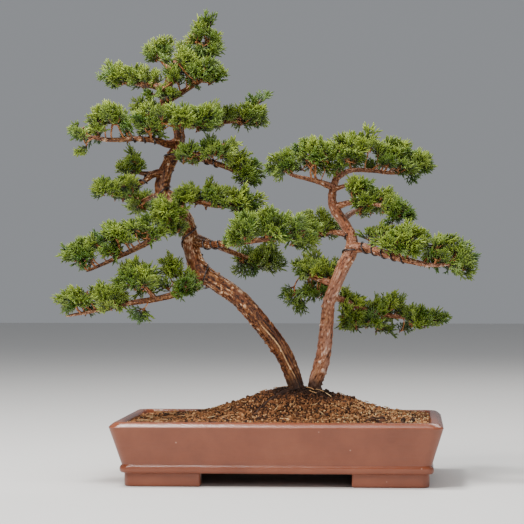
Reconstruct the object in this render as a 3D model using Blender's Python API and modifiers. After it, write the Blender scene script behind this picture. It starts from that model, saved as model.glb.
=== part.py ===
"""Twin-trunk juniper bonsai in a rectangular clay pot.

Metres, +Z up, front towards -Y. The origin is on the ground, under the middle of the whole
object. Tree routes and foliage lumps are written in tree units: millimetres on a tree of
ROUTE_HEIGHT, measured from the middle of the pot's rim.
"""

import math

import bmesh
import bpy
from mathutils import Vector

MM = 0.001

# ---------------------------------------------------------------- driving dimensions
GAP = 0.3 * MM                   # left between pieces that touch or are cut for each other

POT_LENGTH = 301 * MM            # over the rim's sharp corner, before it is rounded
POT_DEPTH = 206 * MM
POT_HEIGHT = 58 * MM
POT_WALL = 12 * MM
POT_FLOOR = 7 * MM
WALL_LEAN = 0.305                # outward run of a wall for each unit of rise
CORNER_RADIUS = 9 * MM           # plan radius of the pot's corners
RIM_RADIUS = 6 * MM
BELT_HEIGHT = 7.4 * MM
BELT_PROUD = 1.6 * MM            # how far the belt stands out of the wall
BELT_ROUND = 2.6 * MM
FOOT_HEIGHT = 12 * MM
FOOT_LENGTH = 69 * MM            # along the front, at each corner
FOOT_RETURN = 56 * MM            # along the sides, at each corner
FOOT_THICKNESS = 17 * MM
FOOT_INSET = 2.6 * MM            # from the belt's foot to the foot's outer face
FOOT_ROUND = 2.4 * MM
FOOT_EMBED = 4 * MM              # how far a foot runs up into the floor

DRAIN_HOLE_RADIUS = 11 * MM
DRAIN_HOLE_SPACING = 130 * MM    # centre to centre
MESH_SIDE = 34 * MM
MESH_THICKNESS = 1.2 * MM
MESH_CELLS = 5                   # odd, so that a clip passes through the cells beside the middle
MESH_STRAND = 1.3 * MM
CLIP_RADIUS = 0.7 * MM
CLIP_REACH = 8 * MM              # how far a clip's foot turns out under the floor

SOIL_BELOW_RIM = 3.5 * MM
MOUND_RISE = 30 * MM             # above the soil's edge
MOUND_CENTRE = (12 * MM, 12 * MM)
MOUND_REACH_LEFT = 68 * MM
MOUND_REACH_RIGHT = 78 * MM
MOUND_REACH_FRONT = 62 * MM
MOUND_CELL = 15 * MM

TREE_HEIGHT = 386 * MM           # from the rim to the tip of the apex
LEFT_TRUNK_BASE = 15.6 * MM      # trunk diameters at the soil
RIGHT_TRUNK_BASE = 13.2 * MM
TRUNKS_APART = 2.1 * MM          # bark to bark at the soil
WIRE_RADIUS = 0.95 * MM

POT_SHIFT = 12 * MM              # the pot stands right of the whole object's middle

# ---------------------------------------------------------------- tree units
ROUTE_HEIGHT = 386.0
ROUTE_LEFT_BASE = 15.6
ROUTE_RIGHT_BASE = 13.2
ROUTE_BASE_SPAN = 16.5           # between the two trunks' middles at the soil
ROUTE_TRUNK_RADIUS = 8.0         # of the thicker trunk
UNIT = TREE_HEIGHT / ROUTE_HEIGHT

# A route is (x, y, height, bark radius). The first route is the trunk; the others start
# inside the wood that they grow from.
LEFT_ROUTES = {
    "trunk": [
        (17, 9, -19, 7.0), (16, 8, -6, 8.0), (15, 6, 12, 7.8), (13, 5, 28, 7.4),
        (3, 2, 56, 7.6), (-16, -2, 83, 7.8), (-39, -6, 109, 8.0), (-62, -8, 125, 8.3),
        (-77, -8, 138, 8.2), (-84, -6, 156, 7.5), (-86, -3, 171, 7.0), (-92, 2, 187, 6.6),
        (-105, 5, 199, 6.7), (-112, 7, 211, 6.8), (-109, 9, 228, 6.3), (-102, 10, 243, 5.6),
        (-97, 11, 255, 5.2), (-98, 13, 269, 5.0), (-104, 16, 281, 5.0), (-111, 18, 293, 5.1),
        (-109, 20, 307, 4.5), (-103, 22, 326, 3.7), (-92, 25, 346, 2.7), (-80, 28, 362, 1.8),
        (-72, 30, 374, 1.1)],
    "low_left": [
        (-70, -8, 128, 5.2), (-83, -20, 123, 4.8), (-94, -36, 114, 3.2), (-112, -47, 109, 2.6),
        (-137, -50, 105, 2.3), (-170, -46, 98, 1.8), (-196, -40, 93, 1.1)],
    "low_left_middle": [
        (-112, -47, 109, 2.0), (-120, -50, 118, 1.7), (-130, -52, 128, 1.1)],
    "mid_left": [
        (-88, 0, 180, 4.6), (-100, -10, 178, 4.2), (-111, -20, 170, 3.3), (-124, -28, 160, 2.7),
        (-141, -33, 151, 2.2), (-160, -35, 142, 1.8), (-178, -33, 134, 1.1)],
    "small_left": [
        (-111, 8, 226, 3.6), (-120, 2, 225, 3.0), (-128, -6, 218, 2.4), (-140, -12, 212, 2.0),
        (-155, -15, 210, 1.6), (-168, -17, 209, 1.1)],
    "small_left_upper": [
        (-120, 2, 225, 2.2), (-131, 0, 226, 1.8), (-139, -2, 230, 1.5), (-143, -4, 239, 1.0)],
    "high_left": [
        (-99, 11, 255, 3.8), (-107, 2, 253, 3.2), (-117, -8, 256, 2.8), (-137, -18, 257, 2.4),
        (-158, -20, 256, 2.1), (-180, -19, 260, 1.6), (-191, -17, 265, 1.1)],
    "top_left": [
        (-109, 20, 306, 3.6), (-123, 28, 310, 3.0), (-139, 38, 313, 2.5), (-155, 46, 318, 1.9),
        (-166, 50, 323, 1.2)],
    "top_front": [(-110, 18, 295, 2.3), (-111, 7, 301, 1.8), (-110, -3, 305, 1.1)],
    "top_tuft": [
        (-104, 22, 322, 2.8), (-113, 32, 332, 2.3), (-122, 42, 341, 1.8), (-127, 48, 348, 1.1)],
    "top_right": [
        (-110, 18, 296, 3.4), (-100, 10, 299, 2.8), (-87, 0, 305, 2.3), (-75, -8, 311, 1.9),
        (-60, -13, 317, 1.1)],
    "high_front": [
        (-97, 9, 254, 3.6), (-95, -6, 264, 3.1), (-91, -16, 272, 2.6), (-81, -26, 276, 2.0),
        (-66, -32, 279, 1.1)],
    "high_right": [
        (-99, 14, 276, 3.4), (-82, 25, 273, 2.9), (-63, 36, 276, 2.5), (-44, 42, 278, 2.0),
        (-26, 44, 285, 1.1)],
    "high_back_left": [
        (-100, 14, 274, 2.6), (-112, 26, 281, 2.1), (-126, 37, 288, 1.6), (-140, 41, 293, 1.0)],
    "high_back": [
        (-98, 13, 266, 3.2), (-96, 34, 271, 2.6), (-91, 56, 277, 1.9), (-84, 70, 283, 1.1)],
    "upper_front": [
        (-97, 9, 248, 2.8), (-88, -7, 243, 2.3), (-76, -20, 243, 1.9), (-60, -29, 248, 1.5),
        (-47, -31, 252, 1.0)],
    "upper_right": [
        (-99, 11, 249, 4.0), (-84, 0, 243, 3.3), (-65, -10, 236, 2.8), (-51, -12, 231, 2.4),
        (-40, -8, 226, 1.9), (-29, -2, 225, 1.1)],
    "mid_right": [
        (-110, 7, 208, 3.5), (-90, -4, 202, 2.8), (-76, -16, 199, 2.5), (-60, -24, 195, 2.2),
        (-44, -26, 195, 1.7), (-29, -23, 198, 1.1)],
    "low_front": [
        (-85, -4, 163, 4.2), (-69, -14, 159, 3.4), (-53, -28, 159, 3.0), (-35, -46, 161, 2.7),
        (-13, -62, 163, 2.2), (8, -67, 166, 1.7), (25, -65, 171, 1.1)],
    "low_back": [
        (-85, -3, 168, 3.6), (-70, 18, 162, 3.0), (-51, 42, 153, 2.5), (-32, 60, 146, 1.9),
        (-17, 67, 143, 1.1)],
    "mid_back": [
        (-111, 7, 210, 3.0), (-121, 26, 206, 2.4), (-134, 46, 202, 1.8), (-143, 63, 200, 1.1)],
    "surface_root": [
        (14, 5, 22, 4.4), (4, -6, 21, 2.2), (-8, -20, 15, 1.6), (-17, -36, 8, 1.2),
        (-22, -50, 2, 0.9)],
    "front_root": [(17, 7, -6, 4.6), (2, -14, -12, 3.5), (-14, -28, -16, 2.4), (-30, -38, -20, 1.3)],
    "back_root": [(18, 9, -8, 4.6), (4, 28, -13, 3.4), (-12, 42, -17, 2.4), (-26, 50, -20, 1.3)],
}

RIGHT_ROUTES = {
    "trunk": [
        (34, 9, -19, 6.2), (33, 8, -6, 7.0), (31.5, 7, 12, 6.6), (31, 5, 28, 6.4),
        (36, 3, 44, 6.9), (40, 2, 61, 6.6), (42, 2, 83, 6.0), (44, 3, 105, 5.4),
        (50, 4, 122, 5.6), (58, 4, 140, 6.2), (65, 5, 154, 6.2), (65, 6, 166, 5.3),
        (59, 7, 178, 5.0), (51, 8, 190, 5.1), (47, 10, 200, 4.2), (48, 14, 212, 3.5),
        (52, 18, 227, 2.5), (58, 21, 243, 1.2)],
    "low_left": [
        (50, 4, 121, 3.4), (37, 18, 126, 2.7), (24, 28, 130, 2.1), (14, 35, 133, 1.2)],
    "low_right": [
        (46, 4, 112, 3.4), (60, 17, 106, 2.8), (78, 27, 98, 2.3), (104, 31, 92, 1.8),
        (132, 29, 89, 1.1)],
    "long_right": [
        (64, 5, 156, 4.6), (79, -7, 156, 4.1), (97, -19, 150, 3.4), (118, -29, 144, 2.7),
        (138, -34, 140, 2.0), (158, -34, 141, 1.1)],
    "mid_back": [
        (64, 6, 168, 2.9), (49, 20, 171, 2.3), (37, 33, 173, 1.8), (28, 42, 178, 1.1)],
    "upper_back": [
        (56, 7, 182, 3.2), (64, 32, 189, 2.5), (77, 56, 196, 1.9), (93, 76, 202, 1.1)],
    "small_right": [
        (49, 9, 194, 3.0), (64, 0, 198, 2.4), (77, -8, 198, 2.1), (92, -15, 195, 1.7),
        (113, -19, 189, 1.1)],
    "dome_front": [(48, 14, 211, 2.2), (59, 3, 214, 1.7), (70, -10, 218, 1.0)],
    "dome_left": [
        (48, 14, 213, 3.0), (37, 5, 217, 2.5), (25, -4, 220, 2.1), (12, -10, 223, 1.7),
        (2, -12, 228, 1.0)],
    "dome_right": [
        (50, 16, 222, 2.8), (64, 23, 229, 2.3), (84, 29, 229, 2.0), (105, 33, 227, 1.6),
        (124, 34, 232, 1.0)],
    "front_root": [(32, 7, -6, 4.0), (46, -12, -11, 3.1), (59, -24, -16, 2.2), (72, -32, -20, 1.2)],
    "back_root": [(33, 9, -8, 4.0), (47, 26, -12, 3.1), (61, 37, -17, 2.2), (74, 43, -20, 1.2)],
}

# Each pad of scale-leaf sprays is a union of lumps: (x, y, height, radii along x, y, z).
LEFT_FOLIAGE = {
    "apex": [(-71, 30, 370, 17, 20, 13), (-76, 27, 353, 19, 21, 11)],
    "top_tuft": [(-124, 49, 349, 13, 16, 10)],
    "top_left": [(-163, 50, 325, 14, 18, 14), (-146, 45, 327, 14, 17, 13), (-132, 40, 327, 11, 12, 9)],
    "top_front": [(-110, -4, 306, 15, 11, 11)],
    "top_right": [(-86, -9, 336, 13, 15, 10), (-90, -12, 324, 15, 15, 12), (-64, -15, 323, 19, 18, 15)],
    "high_left": [
        (-163, -26, 283, 19, 18, 12), (-180, -20, 269, 20, 18, 12), (-152, -21, 270, 20, 22, 14),
        (-128, -19, 274, 17, 22, 17)],
    "high_front": [(-100, -36, 279, 12, 14, 11), (-81, -35, 278, 15, 19, 15), (-64, -31, 280, 13, 17, 15)],
    "high_right": [(-51, 42, 292, 16, 18, 13), (-28, 44, 290, 16, 18, 15)],
    "high_back_left": [(-137, 42, 297, 16, 14, 10)],
    "high_back": [(-84, 73, 287, 24, 24, 15)],
    "upper_front": [(-76, -31, 252, 15, 17, 10), (-52, -31, 252, 18, 17, 12)],
    "upper_right": [(-36, -2, 240, 12, 14, 14), (-27, 0, 230, 13, 18, 17)],
    "small_left": [(-167, -18, 215, 16, 17, 13), (-151, -13, 219, 12, 14, 11)],
    "small_left_upper": [(-145, -4, 243, 14, 13, 12)],
    "mid_left": [
        (-107, -33, 187, 18, 17, 18), (-128, -38, 171, 19, 23, 17), (-154, -40, 169, 18, 22, 15),
        (-165, -38, 157, 17, 20, 15), (-186, -34, 149, 20, 22, 17)],
    "mid_right": [(-77, -24, 208, 17, 17, 11), (-54, -26, 205, 18, 20, 14), (-33, -24, 201, 18, 18, 15)],
    "low_front": [(-19, -63, 173, 19, 28, 21), (4, -66, 177, 19, 28, 20), (23, -62, 172, 16, 24, 19)],
    "low_left_inner": [(-103, -32, 138, 11, 14, 12), (-90, -36, 121, 15, 16, 15)],
    "low_left_middle": [(-134, -52, 134, 21, 22, 15)],
    "low_left_outer": [(-188, -44, 109, 20, 22, 17), (-164, -46, 113, 19, 22, 14)],
    "low_back": [(-20, 68, 147, 22, 20, 15)],
    "mid_back": [(-144, 64, 203, 12, 18, 14)],
}

RIGHT_FOLIAGE = {
    "dome": [
        (4, -12, 234, 16, 17, 16), (27, 1, 240, 22, 28, 19), (66, 19, 246, 28, 33, 22),
        (102, 28, 240, 21, 31, 20), (126, 34, 235, 16, 20, 12)],
    "dome_front": [(73, -16, 219, 16, 12, 9)],
    "small_right": [(93, -17, 201, 20, 15, 12), (116, -20, 192, 13, 12, 11)],
    "long_right": [
        (97, -16, 172, 15, 13, 11), (119, -31, 163, 23, 23, 16), (151, -34, 156, 18, 22, 17),
        (167, -34, 147, 17, 20, 17)],
    "low_right": [
        (69, 26, 107, 16, 15, 14), (84, 31, 90, 28, 18, 16), (102, 31, 101, 22, 23, 15),
        (134, 29, 90, 24, 20, 15)],
    "low_left": [(25, 32, 143, 21, 19, 13), (26, 33, 121, 18, 16, 14)],
    "mid_back": [(30, 45, 184, 19, 19, 14)],
    "upper_back": [(93, 78, 206, 20, 21, 14)],
}

# Training wire: tree, route, start and end along the route, and the rise of one turn.
WINDINGS = {
    "low_left_wire": ("left", "low_left", 13, 29, 5.4),
    "mid_left_wire": ("left", "mid_left", 12, 32, 7.0),
    "small_left_wire": ("left", "small_left", 18, 44, 9.0),
    "high_left_wire": ("left", "high_left", 22, 50, 10.0),
    "upper_right_wire": ("left", "upper_right", 24, 50, 10.0),
    "low_front_wire": ("left", "low_front", 16, 40, 10.0),
    "long_right_wire": ("right", "long_right", 15, 62, 10.5),
}

TRUNK_STEP = 18.0                # spacing of a tube's rings, in tree units
BRANCH_STEP = 18.0
TRUNK_BEVEL = 2                  # bevel_resolution: 8 sides
BRANCH_BEVEL = 1                 # 6 sides
BRANCH_FLAT = math.cos(math.pi / 6)      # a six-sided tube's flats over its corners
WIRE_BEVEL = 1
WIRE_POINTS_PER_TURN = 8
WIRE_FLARE = 1 / math.cos(math.pi / WIRE_POINTS_PER_TURN)
FINE_STEPS = 12                  # samples between two route points when it is smoothed

# ---------------------------------------------------------------- derived heights and sizes
FLOOR_TOP = FOOT_HEIGHT + POT_FLOOR
DRAIN_CENTRES = [-DRAIN_HOLE_SPACING / 2, DRAIN_HOLE_SPACING / 2]
MESH_PITCH = (MESH_SIDE - MESH_STRAND) / MESH_CELLS
CLIP_HALF_SPAN = MESH_PITCH
OVERSHOOT = 2 * MM               # how far a cutter runs past the face that it cuts
POT_CORNER_SEGMENTS = 5


def wall_half(size, height, inset=0.0):
    """Half the pot's outer length or depth at a height, less an inset."""
    return size / 2 - WALL_LEAN * (POT_HEIGHT - height) - inset


# ---------------------------------------------------------------- scene helpers
for old in list(bpy.data.objects):
    bpy.data.objects.remove(old, do_unlink=True)

parts = bpy.data.collections.new("bonsai_tree_in_pot")
cutters = bpy.data.collections.new("cutters")
bpy.context.scene.collection.children.link(parts)
bpy.context.scene.collection.children.link(cutters)


def principled(name, colour, roughness, metallic=0.0):
    """A material with one Principled BSDF."""
    material = bpy.data.materials.new(name)
    material.use_nodes = True
    shader = material.node_tree.nodes["Principled BSDF"]
    shader.inputs["Base Color"].default_value = (*colour, 1.0)
    shader.inputs["Roughness"].default_value = roughness
    shader.inputs["Metallic"].default_value = metallic
    return material


def new_object(name, mesh, collection=parts):
    """An object for a mesh, linked into a collection."""
    obj = bpy.data.objects.new(name, mesh)
    collection.objects.link(obj)
    return obj


def as_cutter(obj):
    """Moves an object among the cutters, where it isn't part of the model."""
    for collection in obj.users_collection:
        collection.objects.unlink(obj)
    cutters.objects.link(obj)
    obj.hide_render = True
    obj.display_type = "WIRE"
    return obj


def evaluated_mesh(obj):
    """The mesh that an object has once its modifiers or its bevel are worked out."""
    bpy.context.view_layer.update()
    depsgraph = bpy.context.evaluated_depsgraph_get()
    return bpy.data.meshes.new_from_object(obj.evaluated_get(depsgraph))


def boolean(target, other, operation):
    """Leaves a Boolean modifier on the target."""
    modifier = target.modifiers.new(operation.lower(), "BOOLEAN")
    modifier.object = other
    modifier.operation = operation
    modifier.solver = "EXACT"


def combine(target, other, operation):
    """Applies a Boolean to the target and removes the other object."""
    boolean(target, other, operation)
    mesh = evaluated_mesh(target)
    target.modifiers.clear()
    target.data = mesh
    bpy.data.objects.remove(other, do_unlink=True)
    return target


def finish(obj, material, sharp_angle=40.0):
    """Gives a piece its material and its smooth shading."""
    obj.data.materials.clear()
    obj.data.materials.append(material)
    obj.data.shade_smooth()
    obj.data.set_sharp_from_angle(angle=math.radians(sharp_angle))
    return obj


# ---------------------------------------------------------------- blocks
def rounded_block(name, low_half, high_half, bottom, top, corner=0.0, edge=0.0, segments=3,
                  round_bottom=False, centre=(0.0, 0.0)):
    """A box between two heights whose half sizes may differ at the bottom and the top.

    corner rounds its upright edges in plan, and edge rounds its top edge, or both its top and
    bottom edges.
    """
    bm = bmesh.new()
    bmesh.ops.create_cube(bm, size=2.0)
    for vert in bm.verts:
        half = high_half if vert.co.z > 0 else low_half
        height = top if vert.co.z > 0 else bottom
        vert.co = Vector((centre[0] + vert.co.x * half[0], centre[1] + vert.co.y * half[1], height))
    if corner > 0:
        upright = [e for e in bm.edges if abs(e.verts[0].co.z - e.verts[1].co.z) > 1e-6]
        bmesh.ops.bevel(bm, geom=upright, offset=corner, segments=POT_CORNER_SEGMENTS,
                        profile=0.5, affect="EDGES", clamp_overlap=True)
    if edge > 0:
        heights = [bottom, top] if round_bottom else [top]
        level = [e for e in bm.edges
                 if any(abs(v - e.verts[0].co.z) < 1e-6 and abs(v - e.verts[1].co.z) < 1e-6
                        for v in heights)]
        bmesh.ops.bevel(bm, geom=level, offset=edge, segments=segments, profile=0.5,
                        affect="EDGES", clamp_overlap=True)
    bmesh.ops.recalc_face_normals(bm, faces=bm.faces)
    mesh = bpy.data.meshes.new(name)
    bm.to_mesh(mesh)
    bm.free()
    return new_object(name, mesh)


def pot_block(name, bottom, top, inset=0.0, **rounding):
    """A block that follows the pot's leaning walls."""
    low = (wall_half(POT_LENGTH, bottom, inset), wall_half(POT_DEPTH, bottom, inset))
    high = (wall_half(POT_LENGTH, top, inset), wall_half(POT_DEPTH, top, inset))
    return rounded_block(name, low, high, bottom, top, **rounding)


def make_feet():
    """Four L-shaped corner feet in one object, each rounded along its edges."""
    inset = -BELT_PROUD + FOOT_INSET
    outer_top = (wall_half(POT_LENGTH, FOOT_HEIGHT, inset), wall_half(POT_DEPTH, FOOT_HEIGHT, inset))
    top = FOOT_HEIGHT + FOOT_EMBED
    feet = rounded_block("feet", outer_top, outer_top, 0.0, top, corner=CORNER_RADIUS)
    inner = (outer_top[0] - FOOT_THICKNESS, outer_top[1] - FOOT_THICKNESS)
    hollow = rounded_block("foot_hollow", inner, inner, -OVERSHOOT, top + OVERSHOOT,
                           corner=CORNER_RADIUS)
    combine(feet, hollow, "DIFFERENCE")
    front_gap = (outer_top[0] - FOOT_LENGTH, outer_top[1] + OVERSHOOT)
    combine(feet, rounded_block("front_gap", front_gap, front_gap, -OVERSHOOT, top + OVERSHOOT),
            "DIFFERENCE")
    side_gap = (outer_top[0] + OVERSHOOT, outer_top[1] - FOOT_RETURN)
    combine(feet, rounded_block("side_gap", side_gap, side_gap, -OVERSHOOT, top + OVERSHOOT),
            "DIFFERENCE")
    bevel = feet.modifiers.new("rounding", "BEVEL")
    bevel.width = FOOT_ROUND
    bevel.segments = 2
    bevel.limit_method = "ANGLE"
    bevel.angle_limit = math.radians(50)
    return feet


def make_pot():
    """One fired piece: leaning walls, rounded rim, belt, feet and two drain holes."""
    pot = pot_block("pot", FOOT_HEIGHT + BELT_HEIGHT / 4, POT_HEIGHT, corner=CORNER_RADIUS,
                    edge=RIM_RADIUS, segments=4)
    belt_half = [(wall_half(size, FOOT_HEIGHT + BELT_HEIGHT / 2) + BELT_PROUD)
                 for size in (POT_LENGTH, POT_DEPTH)]
    belt = rounded_block("belt", belt_half, belt_half, FOOT_HEIGHT, FOOT_HEIGHT + BELT_HEIGHT,
                         corner=CORNER_RADIUS, edge=BELT_ROUND, round_bottom=True)
    combine(pot, belt, "UNION")
    combine(pot, make_feet(), "UNION")
    cavity = pot_block("cavity", FLOOR_TOP, POT_HEIGHT + OVERSHOOT, inset=POT_WALL,
                       corner=CORNER_RADIUS)
    combine(pot, cavity, "DIFFERENCE")
    for x in DRAIN_CENTRES:
        bm = bmesh.new()
        bmesh.ops.create_cone(bm, cap_ends=True, segments=20, radius1=DRAIN_HOLE_RADIUS,
                              radius2=DRAIN_HOLE_RADIUS, depth=POT_FLOOR + 2 * OVERSHOOT)
        bmesh.ops.translate(bm, vec=(x, 0.0, FOOT_HEIGHT + POT_FLOOR / 2), verts=bm.verts)
        mesh = bpy.data.meshes.new("drain_hole")
        bm.to_mesh(mesh)
        bm.free()
        combine(pot, new_object("drain_hole", mesh), "DIFFERENCE")
    return finish(pot, clay)


def mound_height(x, y):
    """The soil's height: level at the rim and heaped at the trunks."""
    reach = MOUND_REACH_LEFT if x < MOUND_CENTRE[0] else MOUND_REACH_RIGHT
    across = (x - MOUND_CENTRE[0]) / reach
    along = (y - MOUND_CENTRE[1]) / MOUND_REACH_FRONT
    return POT_HEIGHT - SOIL_BELOW_RIM + MOUND_RISE * math.exp(-across ** 2 - along ** 2)


def make_soil():
    """The pot's filling: the cavity less a gap, under a heaped surface."""
    soil = pot_block("soil", FLOOR_TOP + GAP, POT_HEIGHT + MOUND_RISE + OVERSHOOT,
                     inset=POT_WALL + GAP, corner=CORNER_RADIUS)
    half_x = wall_half(POT_LENGTH, POT_HEIGHT)
    half_y = wall_half(POT_DEPTH, POT_HEIGHT)
    bm = bmesh.new()
    bmesh.ops.create_grid(bm, x_segments=round(2 * half_x / MOUND_CELL),
                          y_segments=round(2 * half_y / MOUND_CELL), size=1.0)
    for vert in bm.verts:
        x = vert.co.x * half_x
        y = vert.co.y * half_y
        vert.co = Vector((x, y, mound_height(x, y)))
    lower = bmesh.ops.extrude_face_region(bm, geom=bm.faces[:])["geom"]
    for vert in (item for item in lower if isinstance(item, bmesh.types.BMVert)):
        vert.co.z = FOOT_HEIGHT
    bmesh.ops.recalc_face_normals(bm, faces=bm.faces)
    mesh = bpy.data.meshes.new("mound")
    bm.to_mesh(mesh)
    bm.free()
    combine(soil, new_object("mound", mesh), "INTERSECT")
    for x in DRAIN_CENTRES:
        pocket = (MESH_SIDE / 2 + GAP, MESH_SIDE / 2 + GAP)
        pocket_top = FLOOR_TOP + GAP + MESH_THICKNESS + GAP
        combine(soil, rounded_block("mesh_pocket", pocket, pocket, FOOT_HEIGHT, pocket_top,
                                    centre=(x, 0.0)), "DIFFERENCE")
        groove = (CLIP_HALF_SPAN + CLIP_RADIUS + GAP, CLIP_RADIUS + GAP)
        groove_top = pocket_top + 2 * CLIP_RADIUS + GAP
        combine(soil, rounded_block("clip_groove", groove, groove, FOOT_HEIGHT, groove_top,
                                    centre=(x, 0.0)), "DIFFERENCE")
    return soil


def make_drain_mesh(name, x):
    """A moulded square of mesh that lies over a drain hole."""
    half = (MESH_SIDE / 2, MESH_SIDE / 2)
    base = FLOOR_TOP + GAP
    plate = rounded_block(name, half, half, base, base + MESH_THICKNESS, centre=(x, 0.0))
    cell_half = ((MESH_PITCH - MESH_STRAND) / 2, (MESH_PITCH - MESH_STRAND) / 2)
    for column in range(MESH_CELLS):
        for row in range(MESH_CELLS):
            centre = (x + (column - (MESH_CELLS - 1) / 2) * MESH_PITCH,
                      (row - (MESH_CELLS - 1) / 2) * MESH_PITCH)
            cell = rounded_block("mesh_cell", cell_half, cell_half, base - OVERSHOOT,
                                 base + MESH_THICKNESS + OVERSHOOT, centre=centre)
            combine(plate, cell, "DIFFERENCE")
    return finish(plate, mesh_plastic)


# ---------------------------------------------------------------- tubes
def smooth_route(points, step):
    """Samples of a Catmull-Rom curve through the points, about a step apart.

    A point is (x, y, z, radius), and so is a sample.
    """
    ends = [[2 * a - b for a, b in zip(points[0], points[1])],
            [2 * a - b for a, b in zip(points[-1], points[-2])]]
    padded = [ends[0], *points, ends[1]]
    fine = []
    for before, start, end, after in zip(padded, padded[1:], padded[2:], padded[3:]):
        for i in range(FINE_STEPS):
            t = i / FINE_STEPS
            fine.append([0.5 * (2 * s + (e - b) * t + (2 * b - 5 * s + 4 * e - a) * t ** 2
                                + (3 * s - b - 3 * e + a) * t ** 3)
                         for b, s, e, a in zip(before, start, end, after)])
    fine.append(list(points[-1]))
    lengths = [0.0]
    for start, end in zip(fine, fine[1:]):
        lengths.append(lengths[-1] + math.dist(start[:3], end[:3]))
    count = max(2, round(lengths[-1] / step))
    samples = []
    index = 0
    for i in range(count + 1):
        target = lengths[-1] * i / count
        while index < len(lengths) - 2 and lengths[index + 1] < target:
            index += 1
        span = lengths[index + 1] - lengths[index]
        t = (target - lengths[index]) / span
        samples.append([a + (b - a) * t for a, b in zip(fine[index], fine[index + 1])])
    return samples


def tube(name, samples, bevel_resolution):
    """A closed tube through (x, y, z, radius) samples, in metres."""
    curve = bpy.data.curves.new(name, "CURVE")
    curve.dimensions = "3D"
    curve.bevel_depth = 1.0
    curve.bevel_resolution = bevel_resolution
    curve.use_fill_caps = True
    spline = curve.splines.new("POLY")
    spline.points.add(len(samples) - 1)
    for point, (x, y, z, radius) in zip(spline.points, samples):
        point.co = (x, y, z, 1.0)
        point.radius = radius
    guide = new_object(name, curve)
    mesh = evaluated_mesh(guide)
    bm = bmesh.new()
    bm.from_mesh(mesh)
    bmesh.ops.remove_doubles(bm, verts=bm.verts, dist=1e-6)
    bmesh.ops.recalc_face_normals(bm, faces=bm.faces)
    bm.to_mesh(mesh)
    bm.free()
    piece = new_object(name + "_tube", mesh)
    piece.matrix_world = guide.matrix_world
    bpy.data.objects.remove(guide, do_unlink=True)
    return piece


def make_clip(name, x):
    """A bent wire that holds a drain mesh down, its feet turned out under the floor."""
    top = FLOOR_TOP + GAP + MESH_THICKNESS + GAP + CLIP_RADIUS
    under = FOOT_HEIGHT - GAP - CLIP_RADIUS
    half = CLIP_HALF_SPAN
    corners = [(x - half - CLIP_REACH, under), (x - half, under), (x - half, top),
               (x + half, top), (x + half, under), (x + half + CLIP_REACH, under)]
    samples = [(px, 0.0, pz, CLIP_RADIUS) for px, pz in corners]
    piece = tube(name, samples, WIRE_BEVEL)
    piece.name = name
    return finish(piece, wire_metal)


# ---------------------------------------------------------------- wood
TREES = {
    "left": {
        "routes": LEFT_ROUTES,
        "girth": LEFT_TRUNK_BASE / ROUTE_LEFT_BASE,
        "shift": 0.0,
    },
    "right": {
        "routes": RIGHT_ROUTES,
        "girth": RIGHT_TRUNK_BASE / ROUTE_RIGHT_BASE,
        "shift": (LEFT_TRUNK_BASE + RIGHT_TRUNK_BASE) / 2 + TRUNKS_APART - ROUTE_BASE_SPAN * UNIT,
    },
}


def place(tree, x, y, height):
    """Tree units to metres."""
    return (x * UNIT + TREES[tree]["shift"], y * UNIT, POT_HEIGHT + height * UNIT)


def route_samples(tree, route, step):
    """A route's samples in metres."""
    girth = TREES[tree]["girth"]
    return [(*place(tree, x, y, z), radius * girth)
            for x, y, z, radius in smooth_route(TREES[tree]["routes"][route], step)]


def turn_radius(bark):
    """How far a wire's middle stands from the middle of the branch that it is wound on."""
    return (bark + GAP + WIRE_RADIUS) * WIRE_FLARE


def room_radius(bark, wired):
    """The radius that keeps a neighbour clear of bark, and of the wire on it."""
    outside = turn_radius(bark) + WIRE_RADIUS if wired else bark * BRANCH_FLAT
    return (outside + GAP) / BRANCH_FLAT


def make_wood(tree, name, is_room=False):
    """A tree's trunk, branches and roots as one solid, or the room that they need."""
    wood = None
    for route in TREES[tree]["routes"]:
        wired = any(entry[:2] == (tree, route) for entry in WINDINGS.values())
        is_trunk = route == "trunk"
        samples = route_samples(tree, route, TRUNK_STEP if is_trunk else BRANCH_STEP)
        if is_room:
            samples = [(x, y, z, room_radius(bark, wired)) for x, y, z, bark in samples]
        piece = tube(f"{name}_{route}", samples, TRUNK_BEVEL if is_trunk else BRANCH_BEVEL)
        wood = piece if wood is None else combine(wood, piece, "UNION")
    wood.name = name
    return wood


def make_winding(name, tree, route, start, end, pitch):
    """Training wire wound round a branch, held all the way on its bark."""
    samples = route_samples(tree, route, BRANCH_STEP)
    points = [Vector(sample[:3]) for sample in samples]
    step = sum((b - a).length for a, b in zip(points, points[1:])) / (len(points) - 1)
    count = round((end - start) / pitch * WIRE_POINTS_PER_TURN)
    # A thicker trunk covers more of the branch, so the wire starts further out.
    slide = (TREES[tree]["girth"] / MM - 1) * ROUTE_TRUNK_RADIUS
    normal = Vector((0.0, 0.0, 1.0))
    wire = []
    for i in range(count + 1):
        along = (start + slide + (end - start) * i / count) * UNIT / step
        index = int(along)
        fraction = along - index
        middle = points[index].lerp(points[index + 1], fraction)
        bark = samples[index][3] + (samples[index + 1][3] - samples[index][3]) * fraction
        tangent = (points[index + 1] - points[index]).normalized()
        normal = (normal - tangent * normal.dot(tangent)).normalized()
        angle = 2 * math.pi * i / WIRE_POINTS_PER_TURN
        outward = normal * math.cos(angle) + tangent.cross(normal) * math.sin(angle)
        wire.append((*(middle + outward * turn_radius(bark)), WIRE_RADIUS))
    piece = tube(name, wire, WIRE_BEVEL)
    piece.name = name
    return finish(piece, wire_metal)


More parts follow.
